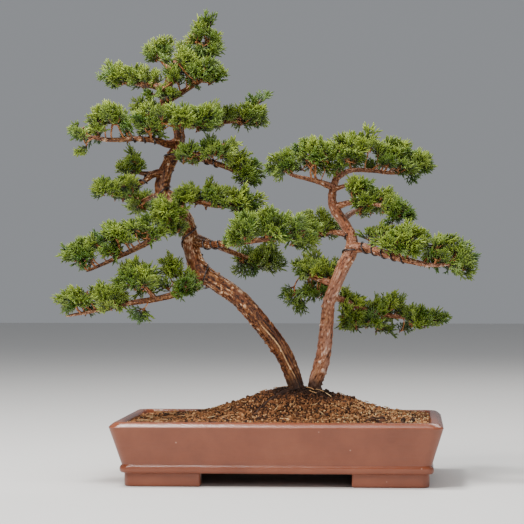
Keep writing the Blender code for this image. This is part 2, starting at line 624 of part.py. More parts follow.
# ---------------------------------------------------------------- foliage
def make_pad(name, tree, lumps):
    """A pad of foliage: its lumps joined, and cut clear of the wood and its wire."""
    pad = None
    for x, y, z, *radii in lumps:
        bm = bmesh.new()
        bmesh.ops.create_icosphere(bm, subdivisions=2, radius=1.0)
        centre = Vector(place(tree, x, y, z))
        for vert in bm.verts:
            vert.co = centre + Vector([c * r * UNIT for c, r in zip(vert.co, radii)])
        mesh = bpy.data.meshes.new(name)
        bm.to_mesh(mesh)
        bm.free()
        lump = new_object(name + "_lump", mesh)
        pad = lump if pad is None else combine(pad, lump, "UNION")
    pad.name = name
    finish(pad, foliage_green)
    boolean(pad, wood_room[tree], "DIFFERENCE")
    return pad


# ---------------------------------------------------------------- materials
clay = principled("fired_clay", (0.35, 0.15, 0.10), 0.62)
mesh_plastic = principled("mesh_plastic", (0.02, 0.02, 0.022), 0.6)
wire_metal = principled("annealed_wire", (0.05, 0.045, 0.05), 0.38, 1.0)
earth = principled("granular_soil", (0.22, 0.09, 0.03), 0.95)
left_bark = principled("left_bark", (0.26, 0.11, 0.05), 0.85)
right_bark = principled("right_bark", (0.24, 0.10, 0.07), 0.8)
foliage_green = principled("juniper_foliage", (0.07, 0.20, 0.02), 0.6)

# ---------------------------------------------------------------- the model
make_pot()
for side, x_drain in zip(("left", "right"), DRAIN_CENTRES):
    make_drain_mesh(f"{side}_drain_mesh", x_drain)
    make_clip(f"{side}_mesh_clip", x_drain)

finish(make_wood("left", "left_tree_wood"), left_bark)
finish(make_wood("right", "right_tree_wood"), right_bark)
wood_room = {tree: as_cutter(make_wood(tree, f"{tree}_wood_room", is_room=True)) for tree in TREES}

soil = make_soil()
for room in wood_room.values():
    boolean(soil, room, "DIFFERENCE")
finish(soil, earth)

for tree_name, foliage in (("left", LEFT_FOLIAGE), ("right", RIGHT_FOLIAGE)):
    for pad_name, pad_lumps in foliage.items():
        make_pad(f"{tree_name}_{pad_name}_foliage", tree_name, pad_lumps)

for wire_name, winding in WINDINGS.items():
    make_winding(wire_name, *winding)

# The pot's middle stands a little right of the origin.
for piece in bpy.data.objects:
    piece.data.transform(piece.matrix_world)
    piece.matrix_world.identity()
    for vertex in piece.data.vertices:
        vertex.co.x += POT_SHIFT
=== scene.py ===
"""Looks for the twin-trunk juniper bonsai: bark, twigs, scale-leaf sprays, soil, clay and wire.

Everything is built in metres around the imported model. Each piece rides on it and stands for one of
its nodes; only the drain meshes and their clips keep the model's own shape.
"""

import math

import bmesh
import bpy
import numpy as np
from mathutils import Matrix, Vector
from mathutils.bvhtree import BVHTree


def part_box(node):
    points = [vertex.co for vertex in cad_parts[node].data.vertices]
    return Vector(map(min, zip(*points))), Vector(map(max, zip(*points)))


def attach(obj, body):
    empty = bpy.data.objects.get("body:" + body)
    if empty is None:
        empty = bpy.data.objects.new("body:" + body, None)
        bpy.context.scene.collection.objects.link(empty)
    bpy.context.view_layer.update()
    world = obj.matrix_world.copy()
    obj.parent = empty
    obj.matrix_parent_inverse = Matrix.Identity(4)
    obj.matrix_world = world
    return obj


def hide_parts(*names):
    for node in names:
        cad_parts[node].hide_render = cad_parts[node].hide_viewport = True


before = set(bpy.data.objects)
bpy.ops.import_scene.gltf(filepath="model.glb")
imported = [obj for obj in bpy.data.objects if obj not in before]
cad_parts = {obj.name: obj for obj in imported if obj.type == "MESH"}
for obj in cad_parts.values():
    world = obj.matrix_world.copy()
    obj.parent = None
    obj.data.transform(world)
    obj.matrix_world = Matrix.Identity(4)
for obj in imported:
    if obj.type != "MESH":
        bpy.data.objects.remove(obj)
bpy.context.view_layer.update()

MM = 0.001

pot_low, pot_high = (np.array(corner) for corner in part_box("pot"))
POT_MIDDLE = (pot_low + pot_high) / 2
RIM = pot_high[2]

# ---------------------------------------------------------------- wood routes
# The wood grows along the same routes as its solids: (x, y, height, bark radius), in
# millimetres from the middle of the pot's rim.
LEFT_ROUTES = {
    "trunk": [
        (17, 9, -19, 7.0), (16, 8, -6, 8.0), (15, 6, 12, 7.8), (13, 5, 28, 7.4),
        (3, 2, 56, 7.6), (-16, -2, 83, 7.8), (-39, -6, 109, 8.0), (-62, -8, 125, 8.3),
        (-77, -8, 138, 8.2), (-84, -6, 156, 7.5), (-86, -3, 171, 7.0), (-92, 2, 187, 6.6),
        (-105, 5, 199, 6.7), (-112, 7, 211, 6.8), (-109, 9, 228, 6.3), (-102, 10, 243, 5.6),
        (-97, 11, 255, 5.2), (-98, 13, 269, 5.0), (-104, 16, 281, 5.0), (-111, 18, 293, 5.1),
        (-109, 20, 307, 4.5), (-103, 22, 326, 3.7), (-92, 25, 346, 2.7), (-80, 28, 362, 1.8),
        (-72, 30, 374, 1.1)],
    "low_left": [
        (-70, -8, 128, 5.2), (-83, -20, 123, 4.8), (-94, -36, 114, 3.2), (-112, -47, 109, 2.6),
        (-137, -50, 105, 2.3), (-170, -46, 98, 1.8), (-196, -40, 93, 1.1)],
    "low_left_middle": [
        (-112, -47, 109, 2.0), (-120, -50, 118, 1.7), (-130, -52, 128, 1.1)],
    "mid_left": [
        (-88, 0, 180, 4.6), (-100, -10, 178, 4.2), (-111, -20, 170, 3.3), (-124, -28, 160, 2.7),
        (-141, -33, 151, 2.2), (-160, -35, 142, 1.8), (-178, -33, 134, 1.1)],
    "small_left": [
        (-111, 8, 226, 3.6), (-120, 2, 225, 3.0), (-128, -6, 218, 2.4), (-140, -12, 212, 2.0),
        (-155, -15, 210, 1.6), (-168, -17, 209, 1.1)],
    "small_left_upper": [
        (-120, 2, 225, 2.2), (-131, 0, 226, 1.8), (-139, -2, 230, 1.5), (-143, -4, 239, 1.0)],
    "high_left": [
        (-99, 11, 255, 3.8), (-107, 2, 253, 3.2), (-117, -8, 256, 2.8), (-137, -18, 257, 2.4),
        (-158, -20, 256, 2.1), (-180, -19, 260, 1.6), (-191, -17, 265, 1.1)],
    "top_left": [
        (-109, 20, 306, 3.6), (-123, 28, 310, 3.0), (-139, 38, 313, 2.5), (-155, 46, 318, 1.9),
        (-166, 50, 323, 1.2)],
    "top_front": [(-110, 18, 295, 2.3), (-111, 7, 301, 1.8), (-110, -3, 305, 1.1)],
    "top_tuft": [
        (-104, 22, 322, 2.8), (-113, 32, 332, 2.3), (-122, 42, 341, 1.8), (-127, 48, 348, 1.1)],
    "top_right": [
        (-110, 18, 296, 3.4), (-100, 10, 299, 2.8), (-87, 0, 305, 2.3), (-75, -8, 311, 1.9),
        (-60, -13, 317, 1.1)],
    "high_front": [
        (-97, 9, 254, 3.6), (-95, -6, 264, 3.1), (-91, -16, 272, 2.6), (-81, -26, 276, 2.0),
        (-66, -32, 279, 1.1)],
    "high_right": [
        (-99, 14, 276, 3.4), (-82, 25, 273, 2.9), (-63, 36, 276, 2.5), (-44, 42, 278, 2.0),
        (-26, 44, 285, 1.1)],
    "high_back_left": [
        (-100, 14, 274, 2.6), (-112, 26, 281, 2.1), (-126, 37, 288, 1.6), (-140, 41, 293, 1.0)],
    "high_back": [
        (-98, 13, 266, 3.2), (-96, 34, 271, 2.6), (-91, 56, 277, 1.9), (-84, 70, 283, 1.1)],
    "upper_front": [
        (-97, 9, 248, 2.8), (-88, -7, 243, 2.3), (-76, -20, 243, 1.9), (-60, -29, 248, 1.5),
        (-47, -31, 252, 1.0)],
    "upper_right": [
        (-99, 11, 249, 4.0), (-84, 0, 243, 3.3), (-65, -10, 236, 2.8), (-51, -12, 231, 2.4),
        (-40, -8, 226, 1.9), (-29, -2, 225, 1.1)],
    "mid_right": [
        (-110, 7, 208, 3.5), (-90, -4, 202, 2.8), (-76, -16, 199, 2.5), (-60, -24, 195, 2.2),
        (-44, -26, 195, 1.7), (-29, -23, 198, 1.1)],
    "low_front": [
        (-85, -4, 163, 4.2), (-69, -14, 159, 3.4), (-53, -28, 159, 3.0), (-35, -46, 161, 2.7),
        (-13, -62, 163, 2.2), (8, -67, 166, 1.7), (25, -65, 171, 1.1)],
    "low_back": [
        (-85, -3, 168, 3.6), (-70, 18, 162, 3.0), (-51, 42, 153, 2.5), (-32, 60, 146, 1.9),
        (-17, 67, 143, 1.1)],
    "mid_back": [
        (-111, 7, 210, 3.0), (-121, 26, 206, 2.4), (-134, 46, 202, 1.8), (-143, 63, 200, 1.1)],
    "surface_root": [
        (14, 5, 22, 4.4), (4, -6, 21, 2.2), (-8, -20, 15, 1.6), (-17, -36, 8, 1.2),
        (-22, -50, 2, 0.9)],
}

RIGHT_ROUTES = {
    "trunk": [
        (34, 9, -19, 6.2), (33, 8, -6, 7.0), (31.5, 7, 12, 6.6), (31, 5, 28, 6.4),
        (36, 3, 44, 6.9), (40, 2, 61, 6.6), (42, 2, 83, 6.0), (44, 3, 105, 5.4),
        (50, 4, 122, 5.6), (58, 4, 140, 6.2), (65, 5, 154, 6.2), (65, 6, 166, 5.3),
        (59, 7, 178, 5.0), (51, 8, 190, 5.1), (47, 10, 200, 4.2), (48, 14, 212, 3.5),
        (52, 18, 227, 2.5), (58, 21, 243, 1.2)],
    "low_left": [
        (50, 4, 121, 3.4), (37, 18, 126, 2.7), (24, 28, 130, 2.1), (14, 35, 133, 1.2)],
    "low_right": [
        (46, 4, 112, 3.4), (60, 17, 106, 2.8), (78, 27, 98, 2.3), (104, 31, 92, 1.8),
        (132, 29, 89, 1.1)],
    "long_right": [
        (64, 5, 156, 4.6), (79, -7, 156, 4.1), (97, -19, 150, 3.4), (118, -29, 144, 2.7),
        (138, -34, 140, 2.0), (158, -34, 141, 1.1)],
    "mid_back": [
        (64, 6, 168, 2.9), (49, 20, 171, 2.3), (37, 33, 173, 1.8), (28, 42, 178, 1.1)],
    "upper_back": [
        (56, 7, 182, 3.2), (64, 32, 189, 2.5), (77, 56, 196, 1.9), (93, 76, 202, 1.1)],
    "small_right": [
        (49, 9, 194, 3.0), (64, 0, 198, 2.4), (77, -8, 198, 2.1), (92, -15, 195, 1.7),
        (113, -19, 189, 1.1)],
    "dome_front": [(48, 14, 211, 2.2), (59, 3, 214, 1.7), (70, -10, 218, 1.0)],
    "dome_left": [
        (48, 14, 213, 3.0), (37, 5, 217, 2.5), (25, -4, 220, 2.1), (12, -10, 223, 1.7),
        (2, -12, 228, 1.0)],
    "dome_right": [
        (50, 16, 222, 2.8), (64, 23, 229, 2.3), (84, 29, 229, 2.0), (105, 33, 227, 1.6),
        (124, 34, 232, 1.0)],
}

TREES = {"left": LEFT_ROUTES, "right": RIGHT_ROUTES}

# Training wire: tree, route, start and end along the route, and the rise of one turn.
WINDINGS = {
    "low_left_wire": ("left", "low_left", 13, 29, 5.4),
    "mid_left_wire": ("left", "mid_left", 12, 32, 7.0),
    "small_left_wire": ("left", "small_left", 18, 44, 9.0),
    "high_left_wire": ("left", "high_left", 22, 50, 10.0),
    "upper_right_wire": ("left", "upper_right", 24, 50, 10.0),
    "low_front_wire": ("left", "low_front", 16, 40, 10.0),
    "long_right_wire": ("right", "long_right", 15, 62, 10.5),
}
WIRE_TURN_POINTS = 28            # along each turn

FINE_STEPS = 12                  # samples between two route points when it is smoothed
ROUTE_STEP = 1.0                 # spacing of a smoothed route's samples, in mm


# ---------------------------------------------------------------- noise
AXIS_PRIMES = (73856093, 19349663, 83492791)
SEED_FACTOR = 2654435
SCRAMBLES = ((13, 1274126177), (11, 668265263))      # bits to shift, then factor
POSITIVE = 0x7FFFFFFF
MIDDLE_BITS = 7
HIGHEST = 0xFFFF


def lattice(cell, seed):
    """A repeatable number from 0 to 1 for each whole-number cell of an (n, 3) array."""
    mixed = seed * SEED_FACTOR
    for axis, prime in enumerate(AXIS_PRIMES):
        mixed = mixed ^ (cell[:, axis] * prime)
    for bits, factor in SCRAMBLES:
        mixed = (mixed ^ (mixed >> bits)) * factor & POSITIVE
    return ((mixed >> MIDDLE_BITS) & HIGHEST) / HIGHEST


def value_noise(points, seed):
    """Smooth noise from -1 to 1."""
    cell = np.floor(points).astype(np.int64)
    t = points - cell
    t = t * t * (3 - 2 * t)
    total = np.zeros(len(points))
    for corner in range(8):
        step = np.array([corner & 1, (corner >> 1) & 1, corner >> 2])
        weight = np.prod(np.where(step, t, 1 - t), axis=1)
        total += weight * lattice(cell + step, seed)
    return total * 2 - 1


def layered_noise(points, seed, octaves=3):
    """Value noise in finer and fainter layers."""
    total = np.zeros(len(points))
    for octave in range(octaves):
        total += value_noise(points * 2 ** octave, seed + octave) * 0.5 ** octave
    return total


def cells(points, seed):
    """For each point, how much nearer its cell is than the next one, and the cell's number."""
    base = np.floor(points).astype(np.int64)
    first = np.full(len(points), 9.0)
    second = np.full(len(points), 9.0)
    number = np.zeros(len(points))
    for i in range(27):
        cell = base + np.array([i % 3 - 1, (i // 3) % 3 - 1, i // 9 - 1])
        spot = cell + np.stack([lattice(cell, seed + k) for k in (1, 2, 3)], axis=1)
        distance = np.linalg.norm(points - spot, axis=1)
        nearer = distance < first
        second = np.where(nearer, first, np.minimum(second, distance))
        number = np.where(nearer, lattice(cell, seed + 4), number)
        first = np.where(nearer, distance, first)
    return second - first, number


# ---------------------------------------------------------------- mesh helpers
def smoothstep(low, high, value):
    """0 below low, 1 above high, and smooth between."""
    t = np.clip((value - low) / (high - low), 0, 1)
    return t * t * (3 - 2 * t)


class Gathered:
    """Gathers vertices, faces and per-vertex values, and builds one mesh from them."""

    def __init__(self):
        self.points, self.tris, self.quads, self.values = [], [], [], {}
        self.count = 0

    def add(self, points, tris=None, quads=None, **values):
        self.points.append(points)
        if tris is not None:
            self.tris.append(np.asarray(tris) + self.count)
        if quads is not None:
            self.quads.append(np.asarray(quads) + self.count)
        for key, value in values.items():
            self.values.setdefault(key, []).append(np.asarray(value, dtype=float))
        self.count += len(points)

    def add_tube(self, line, radii, sides, **values):
        """Adds a closed tube; each value is the same all over it."""
        points, quads, tris = closed_skin(tube_rings(line, radii, sides))
        self.add(points, tris=tris, quads=quads,
                 **{key: np.full(len(points), value) for key, value in values.items()})

    def build(self, name, material, smooth=True):
        points = np.concatenate(self.points)
        groups = [np.concatenate(g) for g in (self.tris, self.quads) if g]
        corners = np.concatenate([g.ravel() for g in groups]).astype(np.int32)
        sizes = np.concatenate([np.full(len(g), g.shape[1]) for g in groups])
        starts = np.concatenate([[0], np.cumsum(sizes)[:-1]]).astype(np.int32)
        mesh = bpy.data.meshes.new(name)
        mesh.vertices.add(len(points))
        mesh.vertices.foreach_set("co", points.astype(np.float32).ravel())
        mesh.loops.add(len(corners))
        mesh.loops.foreach_set("vertex_index", corners)
        mesh.polygons.add(len(sizes))
        mesh.polygons.foreach_set("loop_start", starts)
        mesh.polygons.foreach_set("use_smooth", np.full(len(sizes), smooth))
        for key, parts in self.values.items():
            value = np.concatenate(parts).astype(np.float32)
            kind = "FLOAT_VECTOR" if value.ndim == 2 else "FLOAT"
            layer = mesh.attributes.new(key, kind, "POINT")
            layer.data.foreach_set("vector" if value.ndim == 2 else "value", value.ravel())
        mesh.update(calc_edges=True)
        mesh.validate()
        mesh.materials.append(material)
        return new_object(name, mesh)


def new_object(name, data):
    """A new object in the scene."""
    obj = bpy.data.objects.new(name, data)
    bpy.context.scene.collection.objects.link(obj)
    return obj


def ray_tree(obj):
    """A tree for casting rays at an object's faces."""
    return BVHTree.FromPolygons([v.co[:] for v in obj.data.vertices],
                                [tuple(p.vertices) for p in obj.data.polygons])


def show(obj, slot, *nodes):
    """Makes a piece ride on the part and stand for CAD nodes, which it hides; the slot argument is not
    used.
    """
    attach(obj, "root")
    if nodes:
        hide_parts(*nodes)
    return obj


def frames_along(line):
    """Unit tangents of a line of points, and two directions across it that don't twist."""
    tangents = np.gradient(line, axis=0)
    tangents /= np.linalg.norm(tangents, axis=1)[:, None]
    across = np.zeros_like(line)
    current = np.array([0.0, 0.0, 1.0]) if abs(tangents[0][2]) < 0.9 else np.array([1.0, 0.0, 0.0])
    for i, tangent in enumerate(tangents):
        current = current - tangent * current.dot(tangent)
        current /= np.linalg.norm(current)
        across[i] = current
    return tangents, across, np.cross(tangents, across)


def closed_skin(rings):
    """Points, quads and triangles of the closed skin over an array of rings."""
    count, sides = rings.shape[:2]
    points = np.concatenate([rings.reshape(-1, 3), rings[:1].mean(axis=1), rings[-1:].mean(axis=1)])
    i = np.arange(count - 1)[:, None] * sides
    j = np.arange(sides)
    k = (j + 1) % sides
    quads = np.stack([i + j, i + k, i + sides + k, i + sides + j], axis=-1).reshape(-1, 4)
    last = (count - 1) * sides
    tris = np.concatenate([
        np.stack([k, j, np.full(sides, count * sides)], axis=-1),
        np.stack([last + j, last + k, np.full(sides, count * sides + 1)], axis=-1)])
    return points, quads, tris


def tube_rings(line, radii, sides):
    """The rings of a tube; its radii may differ round each ring."""
    _, across, beside = frames_along(line)
    angles = np.arange(sides) * 2 * math.pi / sides
    ring = (across[:, None, :] * np.cos(angles)[None, :, None]
            + beside[:, None, :] * np.sin(angles)[None, :, None])
    radii = radii if radii.ndim == 2 else radii[:, None]
    return line[:, None, :] + ring * radii[:, :, None]


def smooth_route(points, step):
    """Samples about a step apart on a Catmull-Rom curve through (x, y, z, radius) points."""
    points = np.array(points, dtype=float)
    padded = np.vstack([2 * points[0] - points[1], points, 2 * points[-1] - points[-2]])
    t = np.arange(FINE_STEPS)[:, None] / FINE_STEPS
    fine = []
    for before, start, end, after in zip(padded, padded[1:], padded[2:], padded[3:]):
        fine.append(0.5 * (2 * start + (end - before) * t
                           + (2 * before - 5 * start + 4 * end - after) * t ** 2
                           + (3 * start - before - 3 * end + after) * t ** 3))
    fine = np.vstack([*fine, points[-1:]])
    pieces = np.linalg.norm(np.diff(fine[:, :3], axis=0), axis=1)
    lengths = np.concatenate([[0], np.cumsum(pieces)])
    along = np.linspace(0, lengths[-1], max(2, round(lengths[-1] / step)) + 1)
    return np.stack([np.interp(along, lengths, fine[:, k]) for k in range(4)], axis=1)


def placed(route):
    """Route samples in metres, in the frame."""
    samples = route * MM
    samples[:, :3] += (POT_MIDDLE[0], POT_MIDDLE[1], RIM)
    return samples


def unit(vectors):
    """Vectors at length one."""
    return vectors / np.linalg.norm(vectors, axis=-1, keepdims=True)


SAMPLES = {tree: {name: placed(smooth_route(points, ROUTE_STEP)) for name, points in routes.items()}
           for tree, routes in TREES.items()}


# ---------------------------------------------------------------- node materials
def linear(red, green, blue):
    """A scene-linear colour from 8-bit screen values."""
    return tuple((c / 255 / 12.92) if c <= 10 else ((c / 255 + 0.055) / 1.055) ** 2.4
                 for c in (red, green, blue)) + (1.0,)


class Nodes:
    """A small builder for a node material."""

    def __init__(self, name, roughness, specular=0.5):
        self.material = bpy.data.materials.new(name)
        self.material.use_nodes = True
        self.tree = self.material.node_tree
        self.shader = self.tree.nodes["Principled BSDF"]
        self.shader.inputs["Roughness"].default_value = roughness
        self.shader.inputs["Specular IOR Level"].default_value = specular

    def link(self, source, target):
        self.tree.links.new(source, target)
        return self

    def node(self, kind, **settings):
        node = self.tree.nodes.new(kind)
        for key, value in settings.items():
            setattr(node, key, value)
        return node

    def attribute(self, name, vector=False):
        node = self.node("ShaderNodeAttribute", attribute_name=name)
        return node.outputs["Vector" if vector else "Fac"]

    def position(self):
        return self.node("ShaderNodeTexCoord").outputs["Object"]

    def noise(self, vector, scale, detail=3.0, roughness=0.55):
        node = self.node("ShaderNodeTexNoise")
        node.inputs["Scale"].default_value = scale
        node.inputs["Detail"].default_value = detail
        node.inputs["Roughness"].default_value = roughness
        self.link(vector, node.inputs["Vector"])
        return node.outputs["Fac"]

    def voronoi(self, vector, scale):
        node = self.node("ShaderNodeTexVoronoi")
        node.inputs["Scale"].default_value = scale
        self.link(vector, node.inputs["Vector"])
        return node.outputs["Distance"]

    def ramp(self, value, *stops):
        """A colour ramp; each stop is (place, screen colour)."""
        node = self.node("ShaderNodeValToRGB")
        elements = node.color_ramp.elements
        while len(elements) < len(stops):
            elements.new(0.5)
        for element, (place, colour) in zip(elements, stops):
            element.position = place
            element.color = linear(*colour)
        self.link(value, node.inputs["Fac"])
        return node.outputs["Color"]

    def remap(self, value, low, high, to_low=0.0, to_high=1.0):
        node = self.node("ShaderNodeMapRange", clamp=True)
        limits = {"From Min": low, "From Max": high, "To Min": to_low, "To Max": to_high}
        for key, number in limits.items():
            node.inputs[key].default_value = number
        self.link(value, node.inputs["Value"])
        return node.outputs["Result"]

    def feed(self, value, socket):
        """Links an output to a socket, or sets the socket to a number or a screen colour."""
        if isinstance(value, float):
            socket.default_value = value
        elif isinstance(value, tuple):
            socket.default_value = linear(*value)
        else:
            self.link(value, socket)

    def mix(self, factor, first, second):
        """Mixes two colours; each is an output or a screen colour."""
        node = self.node("ShaderNodeMix", data_type="RGBA", clamp_result=True)
        for value, number in ((factor, 0), (first, 6), (second, 7)):
            self.feed(value, node.inputs[number])
        return node.outputs[2]

    def math(self, operation, first, second=0.0):
        node = self.node("ShaderNodeMath", operation=operation)
        for value, socket in zip((first, second), node.inputs):
            self.feed(value, socket)
        return node.outputs[0]

    def colour(self, output):
        return self.link(output, self.shader.inputs["Base Color"])

    def roughness(self, output):
        return self.link(output, self.shader.inputs["Roughness"])

    def bump(self, height, distance, strength=1.0):
        node = self.node("ShaderNodeBump")
        node.inputs["Distance"].default_value = distance
        node.inputs["Strength"].default_value = strength
        self.link(height, node.inputs["Height"])
        return self.link(node.outputs["Normal"], self.shader.inputs["Normal"])


def bark_material(name, crack, dark, middle, light, pale_flake_and_glint, sheen):
    """Flaky bark: its colour follows how far each plate of bark stands out, with the palest colour on the
    highest plates and knots as painted glints, and streaks run with the grain.
    """
    nodes = Nodes(name, 0.6, 0.35)
    grain = nodes.attribute("grain", vector=True)
    streak = nodes.noise(grain, 1100.0, 4.0, 0.65)
    patch = nodes.noise(grain, 150.0, 3.0)
    blush = nodes.noise(grain, 95.0, 2.0)
    level = nodes.math("ADD", nodes.attribute("relief"), nodes.remap(streak, 0.25, 0.75, -0.2, 0.2))
    colour = nodes.ramp(level, (0.0, crack), (0.26, dark), (0.5, middle), (0.74, light), (0.98, pale_flake_and_glint))
    # Painted sheen: a greyer sheen colour is mixed into the bark in broad random patches.
    grey = nodes.mix(nodes.remap(patch, 0.42, 0.66, 0.0, 0.6), colour, sheen)
    warm = nodes.mix(nodes.remap(blush, 0.5, 0.72, 0.0, 0.45), grey, (126, 54, 30))
    tan = nodes.mix(nodes.remap(blush, 0.46, 0.28, 0.0, 0.5), warm, (154, 106, 58))
    kept = nodes.mix(nodes.remap(level, 0.25, 0.5), colour, tan)
    pale = nodes.mix(nodes.attribute("dead"), kept, nodes.ramp(
        streak, (0.25, (150, 104, 62)), (0.5, (220, 178, 122)), (0.75, (250, 224, 180))))
    nodes.colour(nodes.mix(nodes.attribute("wet"), pale, (34, 22, 18)))
    nodes.roughness(nodes.remap(streak, 0.3, 0.7, 0.4, 0.62))
    nodes.bump(streak, 0.5 * MM, 0.6)
    return nodes.material


def foliage_material():
    """Scale leaves: woody at the stem, older and darkened by painted shade inside, vivid yellow-green at
    the growing tips.
    """
    nodes = Nodes("juniper_scale_leaves", 0.46, 0.5)
    place = nodes.position()
    scales = nodes.voronoi(place, 1500.0)
    age = nodes.attribute("age")
    # Painted light in part: the tone is lighter for tufts higher in their pad, as if lit from above, and
    # otherwise differs at random.
    tone = nodes.attribute("tone")
    young = nodes.mix(tone, (70, 104, 14), (162, 180, 58))
    # Painted shade: the older leaves' colours are darkened nearly to black, standing for shade deep in a
    # pad; the tips' younger colour is lighter for real.
    old_and_shaded = nodes.mix(tone, (8, 26, 5), (30, 58, 14))
    colour = nodes.mix(nodes.remap(age, 0.4, 1.0), old_and_shaded, young)
    woody = nodes.mix(nodes.remap(age, 0.05, 0.42, 0.9, 0.0), colour, (146, 88, 36))
    nodes.colour(nodes.mix(nodes.remap(scales, 0.0, 0.6, 0.4, 0.0), woody, (20, 44, 10)))
    nodes.bump(scales, 0.3 * MM, 0.4)
    return nodes.material


def noisy_material(name, roughness, specular, scale, detail, coarseness, stops, depth, strength):
    """A material whose colour and fine relief both follow one noise."""
    nodes = Nodes(name, roughness, specular)
    level = nodes.noise(nodes.position(), scale, detail, coarseness)
    nodes.colour(nodes.ramp(level, *stops))
    nodes.bump(level, depth, strength)
    return nodes.material


def granule_material():
    """Clay granules, each with its own shade."""
    nodes = Nodes("clay_granules", 0.92, 0.3)
    fine = nodes.noise(nodes.position(), 900.0, 3.0)
    base = nodes.ramp(nodes.attribute("tone"),
                      (0.0, (30, 21, 17)), (0.16, (60, 38, 26)), (0.4, (126, 78, 44)),
                      (0.7, (164, 110, 66)), (0.9, (202, 154, 104)), (1.0, (226, 196, 146)))
    nodes.colour(nodes.mix(nodes.remap(fine, 0.3, 0.7, 0.45, 0.0), base, (58, 34, 20)))
    nodes.bump(fine, 0.4 * MM, 0.7)
    return nodes.material


def clay_material():
    """Unglazed fired clay: mottled, faintly banded, with fine grit and a few pale specks."""
    nodes = Nodes("unglazed_clay", 0.5, 0.55)
    place = nodes.position()
    mottle = nodes.noise(place, 26.0, 4.0, 0.6)
    stretch = nodes.node("ShaderNodeMapping")
    stretch.inputs["Scale"].default_value = (0.12, 0.12, 1.0)
    nodes.link(place, stretch.inputs["Vector"])
    band = nodes.noise(stretch.outputs["Vector"], 420.0, 3.0)
    grit = nodes.noise(place, 1900.0, 2.0)
    body = nodes.ramp(mottle, (0.3, (115, 58, 34)), (0.5, (127, 67, 42)),
                      (0.72, (137, 77, 51)))
    banded = nodes.mix(nodes.remap(band, 0.35, 0.7, 0.0, 0.16), body, (124, 74, 56))
    gritty = nodes.mix(nodes.remap(grit, 0.56, 0.72, 0.0, 0.35), banded, (104, 62, 48))
    speck = nodes.remap(nodes.voronoi(place, 62.0), 0.02, 0.06, 0.4, 0.0)
    nodes.colour(nodes.mix(speck, gritty, (216, 184, 166)))
    wall = nodes.remap(mottle, 0.3, 0.7, 0.34, 0.44)
    nodes.roughness(nodes.math("SUBTRACT", wall, nodes.math("MULTIPLY", nodes.attribute("polish"), 0.2)))
    nodes.bump(nodes.math("ADD", grit, nodes.math("MULTIPLY", band, 1.5)), 0.12 * MM, 0.7)
    return nodes.material


def wire_material():
    """Dark anodised training wire."""
    nodes = Nodes("anodised_wire", 0.36, 0.5)
    scuff = nodes.noise(nodes.position(), 700.0, 3.0)
    nodes.colour(nodes.ramp(scuff, (0.4, (46, 38, 38)), (0.7, (118, 106, 104))))
    nodes.shader.inputs["Metallic"].default_value = 0.85
    nodes.roughness(nodes.remap(scuff, 0.3, 0.7, 0.28, 0.5))
    return nodes.material


# Each bark's colours: crack, dark, middle, light, the palest flakes with their painted glints, and a
# painted sheen.
LEFT_BARK = bark_material("left_bark", (28, 14, 7), (76, 37, 17), (112, 63, 28),
                          (150, 96, 52), (232, 196, 160), (106, 74, 50))
RIGHT_BARK = bark_material("right_bark", (48, 26, 16), (112, 62, 36), (150, 94, 60),
                           (174, 120, 86), (232, 200, 180), (164, 124, 108))
LEAVES = foliage_material()
GRANULES = granule_material()
CLAY = clay_material()
WIRE = wire_material()
# Young orange-brown twigs, the fines between the granules, and moulded black plastic.
TWIG = noisy_material("juniper_twig", 0.65, 0.4, 420.0, 3.0, 0.55,
                      [(0.3, (112, 62, 32)), (0.5, (170, 106, 60)), (0.7, (212, 156, 104))],
                      0.3 * MM, 0.5)
SOIL_BED = noisy_material("soil_fines", 0.95, 0.2, 500.0, 5.0, 0.7,
                          [(0.35, (24, 15, 10)), (0.5, (58, 34, 20)), (0.68, (120, 72, 38))],
                          1.2 * MM, 1.0)
PLASTIC = noisy_material("mesh_plastic", 0.55, 0.5, 1200.0, 2.0, 0.55,
                         [(0.3, (20, 20, 22)), (0.7, (36, 36, 40))], 0.1 * MM, 0.5)

# ---------------------------------------------------------------- soil surface
soil_tree = ray_tree(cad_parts["soil"])


def soil_height(x, y):
    """The CAD soil's top at a place, or None beside it."""
    hit = soil_tree.ray_cast(Vector((x, y, 1.0)), Vector((0, 0, -1)))[0]
    return None if hit is None else hit.z


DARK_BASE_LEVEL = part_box("soil")[1][2] - 2 * MM


# ---------------------------------------------------------------- bark
RIDGE_WIDTH = 1.7 * MM
RIDGE_LENGTH = 11 * MM
FLAKE_WIDTH = 2.3 * MM
FLAKE_LENGTH = 5.2 * MM
CRUST_SIZE = (1.6 * MM, 1.6 * MM, 2.4 * MM)
FULL_BARK_RADIUS = 6 * MM        # thinner wood has proportionally finer bark
# Ridges, crust, plates and cracks: how far each raises the bark, and how much it lightens it.
LAYER_HEIGHTS = (0.32, 0.42, 0.6, -0.5)
LAYER_TONES = (0.28, 0.34, 0.3, -0.45)
BASE_TONE = 0.58
BARK_HEIGHT = 0.85
LOBES = (0.045, 0.045, 0.02)     # how far the trunk is from round, as shares of its radius
KNOT_REACH = (0.8, 1.7)          # mm
KNOT_HEIGHT = (0.5, 1.7)         # mm on a full-sized trunk
FLARE_REACH = 9 * MM             # how far a branch's thicker foot runs along it
TIP_REACH = 4 * MM               # the stretch over which a branch's end is rounded
SUNLIT = (185 * MM, 210 * MM, 250 * MM, 290 * MM)    # painted light: a paler stretch where the upper trunk stands in the light: starts, full, full, ends
DARK_BASE_HEIGHT = 16 * MM             # how far the darkening climbs above the soil
STREAK_START = 40 * MM           # the bare streak's reach along the left trunk
STREAK_END = 128 * MM
STREAK_FACING = (0.12, -1.0, 0.05)
